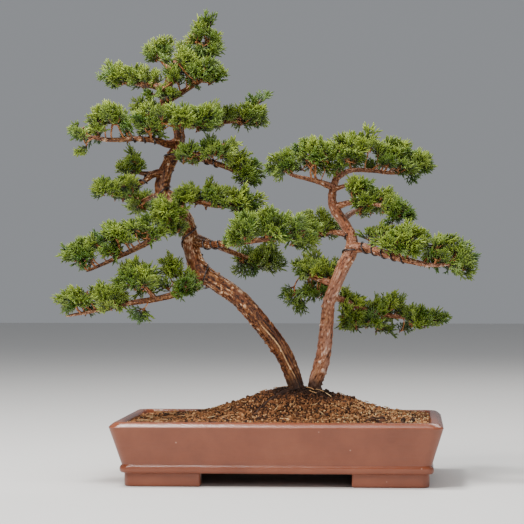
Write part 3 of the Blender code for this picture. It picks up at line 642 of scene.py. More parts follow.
# Across the streak: angle from its middle, half width, depth, and how pale it is.
STREAK_LINES = [(0.0, 0.06, 0.5, 1.0), (-0.19, 0.06, -0.9, -0.3), (0.2, 0.08, -1.6, -0.7),
                (0.42, 0.08, 0.4, 0.0), (0.6, 0.07, -1.3, -0.6), (-0.44, 0.08, 0.3, 0.0)]


def signed_angles(line, angles, facing):
    """Each ring vertex's angle round the line from a facing direction."""
    tangents, across, beside = frames_along(line)
    front = unit(facing - tangents * (tangents @ facing)[:, None])
    start = np.arctan2(np.sum(front * beside, axis=1), np.sum(front * across, axis=1))
    return (angles[None, :] - start[:, None] + math.pi) % (2 * math.pi) - math.pi


def bark(gathered, samples, seed, sides, knot_spacing, streak=False, flare=0.0, flaky=1.0):
    """A length of wood with ridged, flaky bark, as a closed tube."""
    line, radii = samples[:, :3], samples[:, 3]
    along = np.arange(len(samples)) * ROUTE_STEP * MM
    radii = radii * (1 + flare * np.exp(-along / FLARE_REACH))
    size = np.clip(radii / FULL_BARK_RADIUS, 0.2, 1.2)[:, None]
    angles = np.arange(sides) * 2 * math.pi / sides
    rings = len(line)
    twist = along[:, None] / (60 * MM)
    lobes = (LOBES[0] * np.cos(2 * (angles[None, :] + twist) + seed)
             + LOBES[1] * np.cos(3 * (angles[None, :] - 0.7 * twist) + 2 * seed)
             + LOBES[2] * np.cos(5 * angles[None, :] + 1.4 * twist))
    around = np.stack([np.cos(angles), np.sin(angles)], axis=-1)
    grain = np.concatenate([
        np.broadcast_to(around[None], (rings, sides, 2)) * radii[:, None, None],
        np.broadcast_to(along[:, None, None], (rings, sides, 1))], axis=-1).reshape(-1, 3)
    fineness = np.repeat(np.clip(size[:, 0], 0.4, 1.0), sides)[:, None]
    ridges = layered_noise(grain / (np.array([RIDGE_WIDTH, RIDGE_WIDTH, RIDGE_LENGTH]) * fineness), seed)
    crust = layered_noise(grain / (np.array(CRUST_SIZE) * fineness), seed + 20, 2)
    warp = value_noise(grain / (4 * MM), seed + 31)[:, None] * 0.5
    flakes = grain / (np.array([FLAKE_WIDTH, FLAKE_WIDTH, FLAKE_LENGTH]) * fineness) + warp
    edge, number = cells(flakes, seed + 50)
    crack = 1 - smoothstep(0.02, 0.18, edge)
    layers = (ridges, crust, number - 0.5, crack)
    height = flaky * sum(share * layer for share, layer in zip(LAYER_HEIGHTS, layers))
    relief = BASE_TONE + flaky * sum(share * layer for share, layer in zip(LAYER_TONES, layers))
    height = height.reshape(rings, sides)
    relief = relief.reshape(rings, sides)
    knots = np.zeros((rings, sides))
    draws = np.random.default_rng(seed)
    for _ in range(int(along[-1] / knot_spacing)):
        where = draws.uniform(0, along[-1])
        angle = draws.uniform(0, 2 * math.pi)
        turn = np.abs((angles[None, :] - angle + math.pi) % (2 * math.pi) - math.pi) * radii[:, None]
        reach = draws.uniform(*KNOT_REACH) * MM
        distance = turn ** 2 + (along[:, None] - where) ** 2
        knots += draws.uniform(*KNOT_HEIGHT) * np.exp(-distance / reach ** 2)
    # Painted highlight: knots are lightened towards the palest bark colour, as small glints on the bumps.
    relief = relief + 0.5 * np.minimum(knots, 1)
    dead = np.zeros((rings, sides))
    if streak:
        # Painted light: the upper trunk is lightened along the sunlit stretch.
        sunlit = smoothstep(*SUNLIT[:2], along) * (1 - smoothstep(*SUNLIT[2:], along))
        relief = relief + 0.22 * sunlit[:, None]
        wander = 0.16 * np.sin(along / (17 * MM)) + 0.10 * np.sin(along / (7 * MM) + 1)
        drift = (along - (STREAK_START + STREAK_END) / 2) / (STREAK_END - STREAK_START)
        turn = signed_angles(line, angles, np.array(STREAK_FACING)) - (wander - 0.5 * drift)[:, None]
        span = (smoothstep(STREAK_START, STREAK_START + 9 * MM, along)
                * (1 - smoothstep(STREAK_END - 20 * MM, STREAK_END, along)))[:, None]
        middle = 0.08 + 1.1 * np.exp(-(3.1 * drift) ** 4)[:, None]
        calm = np.exp(-(turn / 0.7) ** 4) * span
        height = height * (1 - 0.7 * calm)
        relief = relief * (1 - 0.5 * calm) + 0.26 * calm
        for angle, width, depth, paleness in STREAK_LINES:
            frayed = value_noise(grain / (np.array([30, 30, 9]) * MM) + angle * 9, 61)
            frayed = frayed.reshape(rings, sides)
            bump = np.exp(-((turn - angle) / width) ** 2) * span * (0.75 + 0.5 * frayed)
            height = height + depth * bump
            if depth > 0:
                dead = dead + paleness * bump * middle
                relief = relief + paleness * bump * middle
            else:
                relief = relief + paleness * bump
    out = radii[:, None] * (1 + lobes) + (BARK_HEIGHT * height + knots) * size * MM
    tip = np.clip((along[-1] - along) / TIP_REACH, 0, 1)[:, None]
    points, quads, tris = closed_skin(tube_rings(line, out * (0.35 + 0.65 * np.sqrt(tip)), sides))
    # The bark is darker near the soil, fading upwards along an uneven line.
    base_rise = (points[:, 2] - DARK_BASE_LEVEL) / DARK_BASE_HEIGHT + 0.35 * value_noise(points / (6 * MM), 8)
    ends = np.zeros(2)
    gathered.add(points, tris=tris, quads=quads,
                 grain=np.concatenate([grain * (1, 1, 0.25), np.zeros((2, 3))]),
                 relief=np.concatenate([np.clip(relief, 0, 1).ravel(), ends + 0.4]),
                 dead=np.concatenate([np.clip(dead, 0, 1).ravel(), ends]),
                 wet=0.85 * (1 - smoothstep(0.1, 1.0, base_rise)))


TRUNK_SIDES = 84
BRANCH_SIDES = 36
TWIGGY_SIDES = 24                # round a branch thinner than THICK_BRANCH, and the root
THICK_BRANCH = 3.2 * MM
TRUNK_KNOTS = 4 * MM             # length of trunk for each knot
BRANCH_KNOTS = 8 * MM
FLAKINESS = {"left": 0.9, "right": 0.75}
ROOT_STOUTER = 1.3               # the surface root against its solid
ROOT_RAISED = 0.8 * MM


def make_wood(tree, material):
    """A tree's trunk and branches, and the left one's surface root."""
    wood = Gathered()
    for i, (name, samples) in enumerate(SAMPLES[tree].items()):
        seed = 100 * (tree == "right") + 7 * i + 3
        if name == "trunk":
            bark(wood, samples, seed, TRUNK_SIDES, TRUNK_KNOTS, streak=tree == "left",
                 flaky=FLAKINESS[tree])
        elif name == "surface_root":
            stouter = samples * (1, 1, 1, ROOT_STOUTER) + (0, 0, ROOT_RAISED, 0)
            bark(wood, stouter, seed, TWIGGY_SIDES, BRANCH_KNOTS)
        else:
            sides = BRANCH_SIDES if samples[0, 3] > THICK_BRANCH else TWIGGY_SIDES
            bark(wood, samples, seed, sides, BRANCH_KNOTS, flare=0.3)
    return show(wood.build(f"{tree}_bark", material), f"{tree}_bark", f"{tree}_tree_wood")


# ---------------------------------------------------------------- sprays of scale leaves
SPRAY_LENGTH = 12 * MM
SHOOT_RADIUS = 0.62 * MM
SHOOT_RING = 1.75 * MM           # from one pair of scale leaves to the next
LEAF_WIDTHS = (0.86, 1.12)       # between leaf pairs and at them, against SHOOT_RADIUS
TIP_WIDTH = 0.55
TIP_LENGTH = 1.5
SIDE_SHOOTS = 7
SPRAY_KINDS = 12
FIRST_SPRAY_SEED = 40
# Shoots that hang or reach out of their pads: the tip, in mm as in the routes, and its heading.
EXTRA_TUFTS = {
    "left_high_left_foliage": [((-188, -25, 243), (-8, -3, -10))],
    "left_low_left_middle_foliage": [((-134, -55, 96), (-14, -4, -9))],
    "right_low_left_foliage": [((8, 30, 103), (-3, -2, -14)), ((17, 31, 100), (0, -2, -14)),
                               ((0, 34, 111), (-8, -2, -10))],
    "left_apex_foliage": [((-69, 28, 385), (1, 0, 10))],
    "left_high_right_foliage": [((-22, 42, 309), (3, 0, 9))],
}


def shoot(parts, start, direction, length, radius, age_from, age_to, bend):
    """Adds a pointed, slightly bent shoot of crossed scale leaves; returns its middle line."""
    rings = max(2, round(length / SHOOT_RING))
    t = np.linspace(0, 1, rings + 1)
    line = start + direction * (length * t)[:, None] + bend * (length * t ** 2)[:, None]
    width = radius * np.where(np.arange(rings + 1) % 2, LEAF_WIDTHS[1], LEAF_WIDTHS[0])
    width[-1] = radius * TIP_WIDTH
    _, across, beside = frames_along(line)
    angles = (np.arange(4)[None, :] + 0.5 * (np.arange(rings + 1) % 2)[:, None]) * math.pi / 2
    ring = (across[:, None, :] * np.cos(angles)[:, :, None]
            + beside[:, None, :] * np.sin(angles)[:, :, None]) * width[:, None, None]
    heading = line[-1] - line[-2]
    tip = line[-1] + heading / np.linalg.norm(heading) * radius * TIP_LENGTH
    points = np.vstack([(line[:, None, :] + ring).reshape(-1, 3), tip])
    i = np.arange(rings)[:, None] * 4
    j = np.arange(4)[None, :]
    k = (j + 1) % 4
    odd = np.arange(rings)[:, None] % 2 == 1
    first = np.stack([i + j, i + k, np.where(odd, i + 4 + k, i + 4 + j)], axis=-1).reshape(-1, 3)
    second = np.stack([np.where(odd, i + j, i + 4 + j), np.where(odd, i + 4 + k, i + k),
                       np.where(odd, i + 4 + j, i + 4 + k)], axis=-1).reshape(-1, 3)
    end = np.stack([rings * 4 + j[0], rings * 4 + k[0], np.full(4, (rings + 1) * 4)], axis=-1)
    offset = sum(len(p[0]) for p in parts)
    ages = np.append(np.repeat(age_from + (age_to - age_from) * t, 4), age_to)
    parts.append((points, np.concatenate([first, second, end]) + offset, ages))
    return line


def spray_template(seed):
    """A fan of cord-like shoots: side shoots left and right, each with its own short ones."""
    draws = np.random.default_rng(seed)
    parts = []
    up = np.array([0.0, 0.0, 1.0])

    def lean(axis, angle, out_of_plane):
        """An axis turned in the spray's plane, and then a little out of it."""
        flat = np.array([math.sin(angle), 0.0, math.cos(angle)])
        if axis is not up:
            side = np.cross((0.0, 1.0, 0.0), axis)
            side /= np.linalg.norm(side)
            flat = axis * math.cos(angle) + side * math.sin(angle)
        flat = flat + np.array([0.0, out_of_plane, 0.0])
        return flat / np.linalg.norm(flat)

    def along(line, place):
        """The point at a share of a line's length."""
        shares = np.linspace(0, 1, len(line))
        return np.array([np.interp(place, shares, line[:, k]) for k in range(3)])

    main = shoot(parts, np.zeros(3), up, SPRAY_LENGTH, SHOOT_RADIUS, 0.0, 0.95,
                 np.append(draws.normal(0, 0.13, 2), 0))
    side_sign = 1 if draws.random() < 0.5 else -1
    for place in np.linspace(0.14, 0.86, SIDE_SHOOTS) + draws.uniform(-0.03, 0.03, SIDE_SHOOTS):
        side_sign = -side_sign
        axis = lean(up, side_sign * (0.78 - 0.2 * place + draws.normal(0, 0.08)), draws.normal(0, 0.42))
        length = SPRAY_LENGTH * (0.72 - 0.46 * place) * draws.uniform(0.85, 1.2)
        branch = shoot(parts, along(main, place), axis, length, SHOOT_RADIUS * 0.92,
                       0.15 + 0.45 * place, 1.0, up * 0.25)
        for n in range(1 + (place < 0.75) + (place < 0.45)):
            at = 0.3 + 0.22 * n + draws.uniform(-0.06, 0.06)
            sign = 1 if n % 2 else -1
            twig = lean(axis, sign * (0.72 + draws.normal(0, 0.1)), draws.normal(0, 0.4))
            shoot(parts, along(branch, at), twig, SPRAY_LENGTH * draws.uniform(0.19, 0.32),
                  SHOOT_RADIUS * 0.86, 0.35 + 0.4 * place, 1.0, up * 0.2)
    return tuple(np.concatenate([p[k] for p in parts]) for k in range(3))


TEMPLATES = [spray_template(FIRST_SPRAY_SEED + i) for i in range(SPRAY_KINDS)]

# ---------------------------------------------------------------- foliage pads
TRIES_PER_SPOT = 9


def surface_spots(obj, spacing, draws):
    """Points spread evenly over a mesh's surface, with the normal at each."""
    mesh = obj.data
    mesh.calc_loop_triangles()
    corners = np.empty(len(mesh.loop_triangles) * 3, dtype=np.int32)
    mesh.loop_triangles.foreach_get("vertices", corners)
    points = np.empty(len(mesh.vertices) * 3)
    mesh.vertices.foreach_get("co", points)
    triangles = points.reshape(-1, 3)[corners.reshape(-1, 3)]
    normals = np.cross(triangles[:, 1] - triangles[:, 0], triangles[:, 2] - triangles[:, 0])
    areas = np.linalg.norm(normals, axis=1) / 2
    normals /= np.maximum(areas[:, None] * 2, 1e-12)
    tries = int(areas.sum() / spacing ** 2 * TRIES_PER_SPOT)
    chosen = draws.choice(len(areas), tries, p=areas / areas.sum())
    u, v = draws.random((2, tries))
    fold = u + v > 1
    u[fold], v[fold] = 1 - u[fold], 1 - v[fold]
    t = triangles[chosen]
    spots = t[:, 0] + u[:, None] * (t[:, 1] - t[:, 0]) + v[:, None] * (t[:, 2] - t[:, 0])
    kept = []
    for i, spot in enumerate(spots):
        if not kept or np.min(np.linalg.norm(spots[kept] - spot, axis=1)) > spacing:
            kept.append(i)
    return spots[kept], normals[chosen[kept]]


def turned(direction, roll):
    """A rotation matrix whose third column is a direction."""
    side = np.cross(direction, (0.12, 0.31, 0.94))
    side /= np.linalg.norm(side)
    other = np.cross(direction, side)
    return np.stack([side * math.cos(roll) + other * math.sin(roll),
                     -side * math.sin(roll) + other * math.cos(roll), direction], axis=1)


TUFT_SPACING = 9.5 * MM
SPRAYS_PER_TUFT = 4
WOOD_REACH = 8 * MM              # wood this near a pad's box can carry it
BARK_CLEARANCE = 3.5 * MM        # no tuft starts nearer to bark
FACING_DOWN = -0.4               # a normal's height below which a spot is on the underside
KEPT_BELOW = 0.08                # share of the spots that get a tuft, on the underside
KEPT_ABOVE = 0.9
SWELL = 3.6                      # mm by which broad waves move the tufts in and out
SCATTER = (-3.0, 1.5)            # mm by which each tuft moves by itself
TOP_DROP = 4.5                   # mm by which a pad's highest tufts are lowered
# A tuft's heading: parts of the surface's normal, of the branch's way out, of up and of chance.
HEADING_PARTS = (0.75, 0.45, 0.42, 0.2)
ROOT_DEPTH = 1.15 * SPRAY_LENGTH
# How far, in mm, pads' tufts stand back along their branches and below their solids.
USUAL_SHIFT = (4.5, 1.0)
PAD_SHIFTS = {"left_apex_foliage": (4.5, 5.0), "left_high_right_foliage": (3.0, 4.0),
              "left_top_tuft_foliage": (3.0, -1.5), "right_dome_foliage": (0.5, -2.5)}


def carrying_wood(tree, low, high):
    """Samples of the wood in a box, each with its place, bark radius and outward direction."""
    rows = [np.hstack([samples, unit(np.gradient(samples[:, :3], axis=0))])
            for route, samples in SAMPLES[tree].items() if route != "surface_root"]
    rows = np.concatenate(rows)
    inside = (rows[:, :3] > low - WOOD_REACH) & (rows[:, :3] < high + WOOD_REACH)
    return rows[np.all(inside, axis=1)]


def make_pad(tree, name, twigs, seed):
    """Fills a foliage solid with tufts of sprays, and grows the twigs that carry them."""
    draws = np.random.default_rng(seed)
    low, high = (np.array(c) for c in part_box(name))
    wood = carrying_wood(tree, low, high)
    spots, normals = surface_spots(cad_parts[name], TUFT_SPACING, draws)
    gaps = np.linalg.norm(spots[:, None, :] - wood[None, :, :3], axis=2) - wood[None, :, 3]
    under = normals[:, 2] < FACING_DOWN
    share = np.where(under, KEPT_BELOW, KEPT_ABOVE)
    keep = (gaps.min(axis=1) > BARK_CLEARANCE) & (draws.random(len(spots)) < share)
    spots, normals, under = spots[keep], normals[keep], under[keep]
    outward = wood[gaps[keep].argmin(axis=1), 4:7]
    level = (spots[:, 2] - low[2]) / (high[2] - low[2])
    swell = value_noise(spots / (15 * MM), 91) * SWELL + draws.uniform(*SCATTER, len(spots))
    spots = spots + normals * (swell * MM)[:, None]
    back, drop = PAD_SHIFTS.get(name, USUAL_SHIFT)
    spots = spots - outward * back * MM
    spots[:, 2] -= (drop + TOP_DROP * level) * MM
    by_normal, by_branch, by_up, by_chance = HEADING_PARTS
    upward = np.where(under, 0.0, by_up)[:, None] * np.array([0, 0, 1])
    axes = unit(normals * by_normal + outward * by_branch + upward
                + draws.normal(0, by_chance, spots.shape))
    for tip, heading in EXTRA_TUFTS.get(name, []):
        place = np.array(tip) * MM + (POT_MIDDLE[0], POT_MIDDLE[1], RIM - (drop + 2) * MM)
        spots = np.vstack([spots, place])
        axes = np.vstack([axes, unit(np.array(heading, dtype=float))])
        level = np.append(level, 0.3)
    pad = Gathered()
    roots = spots - axes * ROOT_DEPTH
    for root, axis, height in zip(roots, axes, level):
        # Painted light: a tuft higher in its pad gets a lighter tone, as if lit from above; the rest of
        # its tone differs at random.
        tuft_tone_and_top_light = 0.12 + 0.55 * height + draws.normal(0, 0.15)
        for n in range(SPRAYS_PER_TUFT):
            direction = unit(axis + draws.normal(0, 0.42, 3) * (1, 1, 0.75))
            scale = draws.uniform(0.78, 1.2) * (1.35 if draws.random() < 0.1 else 1.0)
            base = root + axis * draws.uniform(-3, 4) * MM
            points, tris, age = TEMPLATES[draws.integers(SPRAY_KINDS)]
            tone = float(np.clip(tuft_tone_and_top_light + draws.normal(0, 0.12), 0, 1))
            pad.add(points @ turned(direction, draws.uniform(0, 6.3)).T * scale + base, tris=tris,
                    age=age, tone=np.full(len(points), tone))
    grow_twigs(twigs, wood, roots, draws)
    return show(pad.build(name.replace("_foliage", "_sprays"), LEAVES), "foliage", name)


# ---------------------------------------------------------------- twigs
TWIG_STEP = 4.0 * MM
TWIG_ROUNDS = 40
TWIG_SIDES = 5
TWIG_RADIUS = 0.55 * MM
TWIG_TAPER = 0.38                # power of the number of tufts that a twig carries
SLANT = 9 * MM                   # how far back along its branch a twig leaves it


def grow_twigs(twigs, wood, ends, draws):
    """Grows slanting twigs from the wood towards every tuft, by space colonisation."""
    wood = wood[::4]
    places = list(wood[:, :3])
    roots = len(places)
    parents = [-1] * roots
    open_ends = list(range(len(ends)))
    leaves = []
    for _ in range(TWIG_ROUNDS):
        if not open_ends:
            break
        known = np.array(places)
        seen = known.copy()
        seen[:roots] += wood[:, 4:7] * SLANT
        pulls = {}
        still_open = []
        for end in open_ends:
            nearest = int(np.argmin(np.linalg.norm(seen - ends[end], axis=1)))
            way = ends[end] - known[nearest]
            distance = np.linalg.norm(way)
            if distance < TWIG_STEP * 1.3:
                parents.append(nearest)
                places.append(ends[end])
                leaves.append(len(places) - 1)
            else:
                pulls.setdefault(nearest, []).append(way / distance)
                still_open.append(end)
        for source, directions in pulls.items():
            heading = unit(np.sum(directions, axis=0)) + draws.normal(0, 0.2, 3)
            parents.append(source)
            places.append(known[source] + unit(heading) * TWIG_STEP)
        open_ends = still_open
    count = np.zeros(len(places))
    count[leaves] = 1
    for i in range(len(places) - 1, roots - 1, -1):
        count[parents[i]] += count[i]
    children = {}
    for i in range(roots, len(places)):
        if count[i] > 0:
            children.setdefault(parents[i], []).append(i)
    starts = [(root, child) for root in range(roots) for child in children.get(root, [])]
    while starts:
        parent, node = starts.pop()
        chain = [parent, node]
        while children.get(node):
            follow = sorted(children[node], key=lambda c: -count[c])
            starts += [(node, other) for other in follow[1:]]
            node = follow[0]
            chain.append(node)
        line = np.array([places[i] for i in chain])
        radii = np.array([TWIG_RADIUS * max(count[i], 1) ** TWIG_TAPER for i in chain])
        radii[0] = radii[1] if parent < roots else min(radii[0], radii[1] * 1.15)
        fine = np.linspace(0, len(line) - 1, 2 * len(line) - 1)
        smooth = line.copy()
        if len(line) > 2:
            smooth[1:-1] = 0.25 * line[:-2] + 0.5 * line[1:-1] + 0.25 * line[2:]
        whole = np.arange(len(line))
        doubled = np.stack([np.interp(fine, whole, smooth[:, k]) for k in range(3)], axis=1)
        widths = np.interp(fine, whole, radii)
        twigs.add_tube(doubled, widths, TWIG_SIDES)


# ---------------------------------------------------------------- soil
GRANULE_SPACING = 1.9 * MM
GRANULE_JITTER = 0.55            # mm
WALL_CLEARANCE = 1.0 * MM
BED_LEVEL = 20 * MM              # above the soil's underside; the soil's top is all higher
BED_DROP = 1.2 * MM              # the fines lie this far under the CAD soil's top
NEAR_SOIL = 60                   # samples at the start of a trunk that the soil lies against
DARK_REACH = 17 * MM             # the soil is darker this near the trunks
DARKEST = 0.94
COARSE_SHARE = 0.08
STRAWS = 70
STRAW_POINTS = 7
STRAW_SIDES = 5
STRAW_CLEARANCE = 12 * MM        # from the soil's edge
STRAW_LIFT = 1.9 * MM
PEBBLES = 22
PEBBLE_X = (78, 126)             # mm from the pot's middle
PEBBLE_Y = (-82, -52)
FACETS = 9                       # flats cut on a granule


def granule_template(seed, subdivisions):
    """A rounded, angular clay granule of unit radius."""
    bm = bmesh.new()
    if subdivisions:
        bmesh.ops.create_icosphere(bm, subdivisions=subdivisions, radius=1.0)
    else:
        bmesh.ops.create_cube(bm, size=2)
        bmesh.ops.triangulate(bm, faces=bm.faces)
    points = unit(np.array([v.co[:] for v in bm.verts]))
    tris = np.array([[v.index for v in f.verts] for f in bm.faces])
    bm.free()
    draws = np.random.default_rng(seed)
    normals = unit(draws.normal(0, 1, (FACETS, 3)))
    depths = draws.uniform(0.62, 0.95, FACETS) / np.maximum(points @ normals.T, 0.05)
    cut = np.minimum(1, np.min(depths, axis=1))
    return points * cut[:, None] * draws.uniform(0.75, 1.2, 3), tris


def make_soil():
    """A bed of fines under thousands of loose granules, with a few pebbles and straws."""
    low, high = (np.array(c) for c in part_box("soil"))
    edge = low[2] + BED_LEVEL
    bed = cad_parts["soil"].data.copy()
    for vertex in bed.vertices:
        if vertex.co.z > edge:
            vertex.co.z -= BED_DROP
    bed.materials.clear()
    bed.materials.append(SOIL_BED)
    show(new_object("soil_bed", bed), "soil", "soil")
    small = [granule_template(300 + i, 0) for i in range(14)]
    large = [granule_template(400 + i, 2) for i in range(10)]
    draws = np.random.default_rng(11)
    grit, granules, litter = Gathered(), Gathered(), Gathered()
    wood = np.concatenate([routes["trunk"][:NEAR_SOIL] for routes in SAMPLES.values()]
                          + [SAMPLES["left"]["surface_root"]])
    trunks = NEAR_SOIL * len(SAMPLES)

    def scatter(xs, ys, sizes, tones, templates, group):
        """Lays granules on the bed, which heaves a little, and darkens them by the trunks."""
        flat = np.stack([xs, ys, np.zeros(len(xs))], axis=1)
        heave = value_noise(flat / (15 * MM), 17) * 1.1 + value_noise(flat / (6 * MM), 18) * 0.5
        lifts = heave * MM + draws.uniform(-0.4, 0.4, len(xs)) * sizes
        for x, y, size, tone, lift in zip(xs, ys, sizes, tones, lifts):
            z = soil_height(x, y)
            if z is None or z < edge:
                continue
            gaps = np.linalg.norm(wood[:, :2] - (x, y), axis=1) - wood[:, 3]
            gap = gaps[:trunks].min()
            if gap < -0.5 * MM or gaps[trunks:].min() < size * 0.7:
                continue
            tone *= 1 - DARKEST * math.exp(-(max(gap, 0) / DARK_REACH) ** 2)
            points, tris = templates[draws.integers(len(templates))]
            rotation = turned(unit(draws.normal(0, 1, 3)), draws.uniform(0, 6.3))
            group.add(points @ rotation.T * size + (x, y, z + lift), tris=tris,
                      tone=np.full(len(points), tone))

    xs, ys = (np.arange(low[k] + WALL_CLEARANCE, high[k] - WALL_CLEARANCE, GRANULE_SPACING)
              for k in (0, 1))
    xs, ys = (grid.ravel() + draws.normal(0, GRANULE_JITTER, grid.size) * MM
              for grid in np.meshgrid(xs, ys))
    patch = value_noise(np.stack([xs, ys, np.zeros(len(xs))], axis=1) / (17 * MM), 23)
    pick = draws.random(len(xs)) - 0.24 - 0.34 * np.maximum(patch, 0)
    dark, pale, usual = (draws.uniform(*tone, len(xs)) for tone in ((0.0, 0.26), (0.8, 0.97), (0.3, 0.78)))
    tones = np.where(pick < 0, dark, np.where(pick < 0.12, pale, usual))
    # The granules grow lighter towards the pot's right end.
    lighter_rightward = smoothstep(20 * MM, 90 * MM, xs - POT_MIDDLE[0])
    tones = np.clip(tones + 0.2 * lighter_rightward * (tones > 0.3), 0, 1)
    scatter(xs, ys, draws.uniform(0.75, 1.4, len(xs)) * MM, tones, small, grit)
    coarse = draws.random(len(xs)) < COARSE_SHARE
    number = int(coarse.sum())
    scatter(xs[coarse], ys[coarse], draws.uniform(1.3, 2.2, number) * MM,
            draws.uniform(0.05, 0.9, number), large, granules)
    scatter(POT_MIDDLE[0] + draws.uniform(*PEBBLE_X, PEBBLES) * MM,
            POT_MIDDLE[1] + draws.uniform(*PEBBLE_Y, PEBBLES) * MM,
            draws.uniform(2.4, 4.0, PEBBLES) * MM, draws.uniform(0.02, 0.26, PEBBLES), large, granules)
    for _ in range(STRAWS):
        x, y = (draws.uniform(low[k] + STRAW_CLEARANCE, high[k] - STRAW_CLEARANCE) for k in (0, 1))
        z = soil_height(x, y)
        if z is None or z < edge:
            continue
        turn = draws.uniform(0, 6.3)
        length = draws.uniform(4, 12) * MM
        t = np.linspace(-0.5, 0.5, STRAW_POINTS)
        bow = draws.uniform(-0.15, 0.15) * length * (1 - 4 * t ** 2)
        xs = x + math.cos(turn) * length * t - math.sin(turn) * bow
        ys = y + math.sin(turn) * length * t + math.cos(turn) * bow
        tops = [soil_height(px, py) or z for px, py in zip(xs, ys)]
        line = np.stack([xs, ys, np.array(tops) + STRAW_LIFT], axis=1)
        radii = np.full(STRAW_POINTS, draws.uniform(0.25, 0.5) * MM)
        litter.add_tube(line, radii, STRAW_SIDES, tone=draws.uniform(0.85, 1.0))
    show(grit.build("soil_grit", GRANULES, smooth=False), "soil")
    show(granules.build("soil_granules", GRANULES, smooth=False), "soil")
    show(litter.build("soil_litter", GRANULES), "soil")


# ---------------------------------------------------------------- pot
# All in mm; the lengths are over the rim's edge, and the heights are above the ground.
POT_LENGTH = 301
POT_DEPTH = 206
POT_HEIGHT = 58
WALL_LEAN = 0.305                # outward run for each unit of rise
WALL = 12
CORNER = 9.5                     # plan radius
FOOT_HEIGHT = 12
FLOOR_TOP = 19
BELT_MIDDLE = 15.8
BELT_HALF = 3.8
BELT_PROUD = 2.9
FOOT_INSET = 2.6
FOOT_THICKNESS = 17
FOOT_LENGTH = 69
FOOT_RETURN = 56
DRAIN_RADIUS = 11
DRAIN_SPACING = 130
UNEVENNESS = 0.22
STEPS_LONG = 72                  # pieces of each ring's straight stretches
STEPS_SHORT = 48
FOOT_ROUNDING = 2.1
FOOT_EMBED = 3                   # how far a foot runs up into the floor


def lean_at(height):
    """How far the wall stands inside the rim's edge."""
    return WALL_LEAN * (POT_HEIGHT - height)


def pot_profile():
    """(inset from the rim's edge, height) from the underside, over the rim, down to the floor."""
    belt_depth = lean_at(BELT_MIDDLE)
    rows = [(belt_depth + 3, FOOT_HEIGHT)]
    for angle in np.radians(np.linspace(-72, 62, 12)):
        rows.append((belt_depth - BELT_PROUD * math.cos(angle), BELT_MIDDLE + BELT_HALF * math.sin(angle)))
    rows += [(lean_at(h), h) for h in (19.5, 20.2, *np.arange(22.5, 51.5, 2.9), 52.4)]
    rows += [(1.35, 53.2), (1.55, 53.8), (2.1, 54.5), (2.8, 55.15), (3.6, 55.85), (4.4, 56.5),
             (5.2, 57.1), (6.0, 57.6), (6.9, 57.9), (7.9, 58.0), (9.2, 58.0), (10.6, 57.95), (11.6, 57.6),
             (12.2, 57.0), (12.7, 56.0)]
    rows += [(WALL + lean_at(h), h) for h in (54, 51, 48, 45, 40, 30, 21)]
    return rows + [(WALL + lean_at(FLOOR_TOP) + 1.4, FLOOR_TOP)]


def rounded_rectangle(half_x, half_y, corner, height):
    """One ring of the pot, in mm, with the same number of points at every height."""
    points = []
    # Each corner's signs, and the way that the straight stretch after it runs.
    corners = ((1, 1, -1, 0), (-1, 1, 0, -1), (-1, -1, 1, 0), (1, -1, 0, 1))
    for quarter, (sx, sy, way_x, way_y) in enumerate(corners):
        steps = STEPS_LONG if way_x else STEPS_SHORT
        centre = (sx * (half_x - corner), sy * (half_y - corner))
        for angle in np.radians(90 * quarter + np.linspace(0, 90, 11)):
            points.append((centre[0] + corner * math.cos(angle), centre[1] + corner * math.sin(angle)))
        end = points[-1]
        run_x = way_x * 2 * (half_x - corner)
        run_y = way_y * 2 * (half_y - corner)
        for i in range(1, steps):
            points.append((end[0] + run_x * i / steps, end[1] + run_y * i / steps))
    return [(x, y, height) for x, y in points]


def foot_mesh(sx, sy):
    """One L-shaped foot under a corner of the pot, rounded along its edges."""
    x = POT_LENGTH / 2 - lean_at(BELT_MIDDLE) - FOOT_INSET + 1.6
    y = POT_DEPTH / 2 - lean_at(BELT_MIDDLE) - FOOT_INSET + 1.6
    corner = [(x - CORNER + CORNER * math.cos(a), y - CORNER + CORNER * math.sin(a))
              for a in np.radians(np.linspace(0, 90, 9))]
    outline = [(x, y - FOOT_RETURN), *corner, (x - FOOT_LENGTH, y), (x - FOOT_LENGTH, y - FOOT_THICKNESS),
               (x - FOOT_THICKNESS, y - FOOT_THICKNESS), (x - FOOT_THICKNESS, y - FOOT_RETURN)]
    bm = bmesh.new()
    face = bm.faces.new([bm.verts.new((sx * px, sy * py, 0)) for px, py in outline])
    top = bmesh.ops.extrude_face_region(bm, geom=[face])["geom"]
    raised = [v for v in top if isinstance(v, bmesh.types.BMVert)]
    bmesh.ops.translate(bm, vec=(0, 0, FOOT_HEIGHT + FOOT_EMBED), verts=raised)
    bmesh.ops.recalc_face_normals(bm, faces=bm.faces)
    sharp = [e for e in bm.edges if e.calc_face_angle(0) > math.radians(40)]
    bmesh.ops.bevel(bm, geom=sharp, offset=FOOT_ROUNDING, segments=4, profile=0.5, affect="EDGES",
                    clamp_overlap=True)
    bmesh.ops.triangulate(bm, faces=bm.faces)
    bm.verts.index_update()
    points = np.array([v.co[:] for v in bm.verts])
    tris = np.array([[v.index for v in f.verts] for f in bm.faces])
    bm.free()
    return points, tris


def to_frame(points):
    """Pot points in mm to metres in the frame."""
    return points * MM + (POT_MIDDLE[0], POT_MIDDLE[1], pot_low[2])


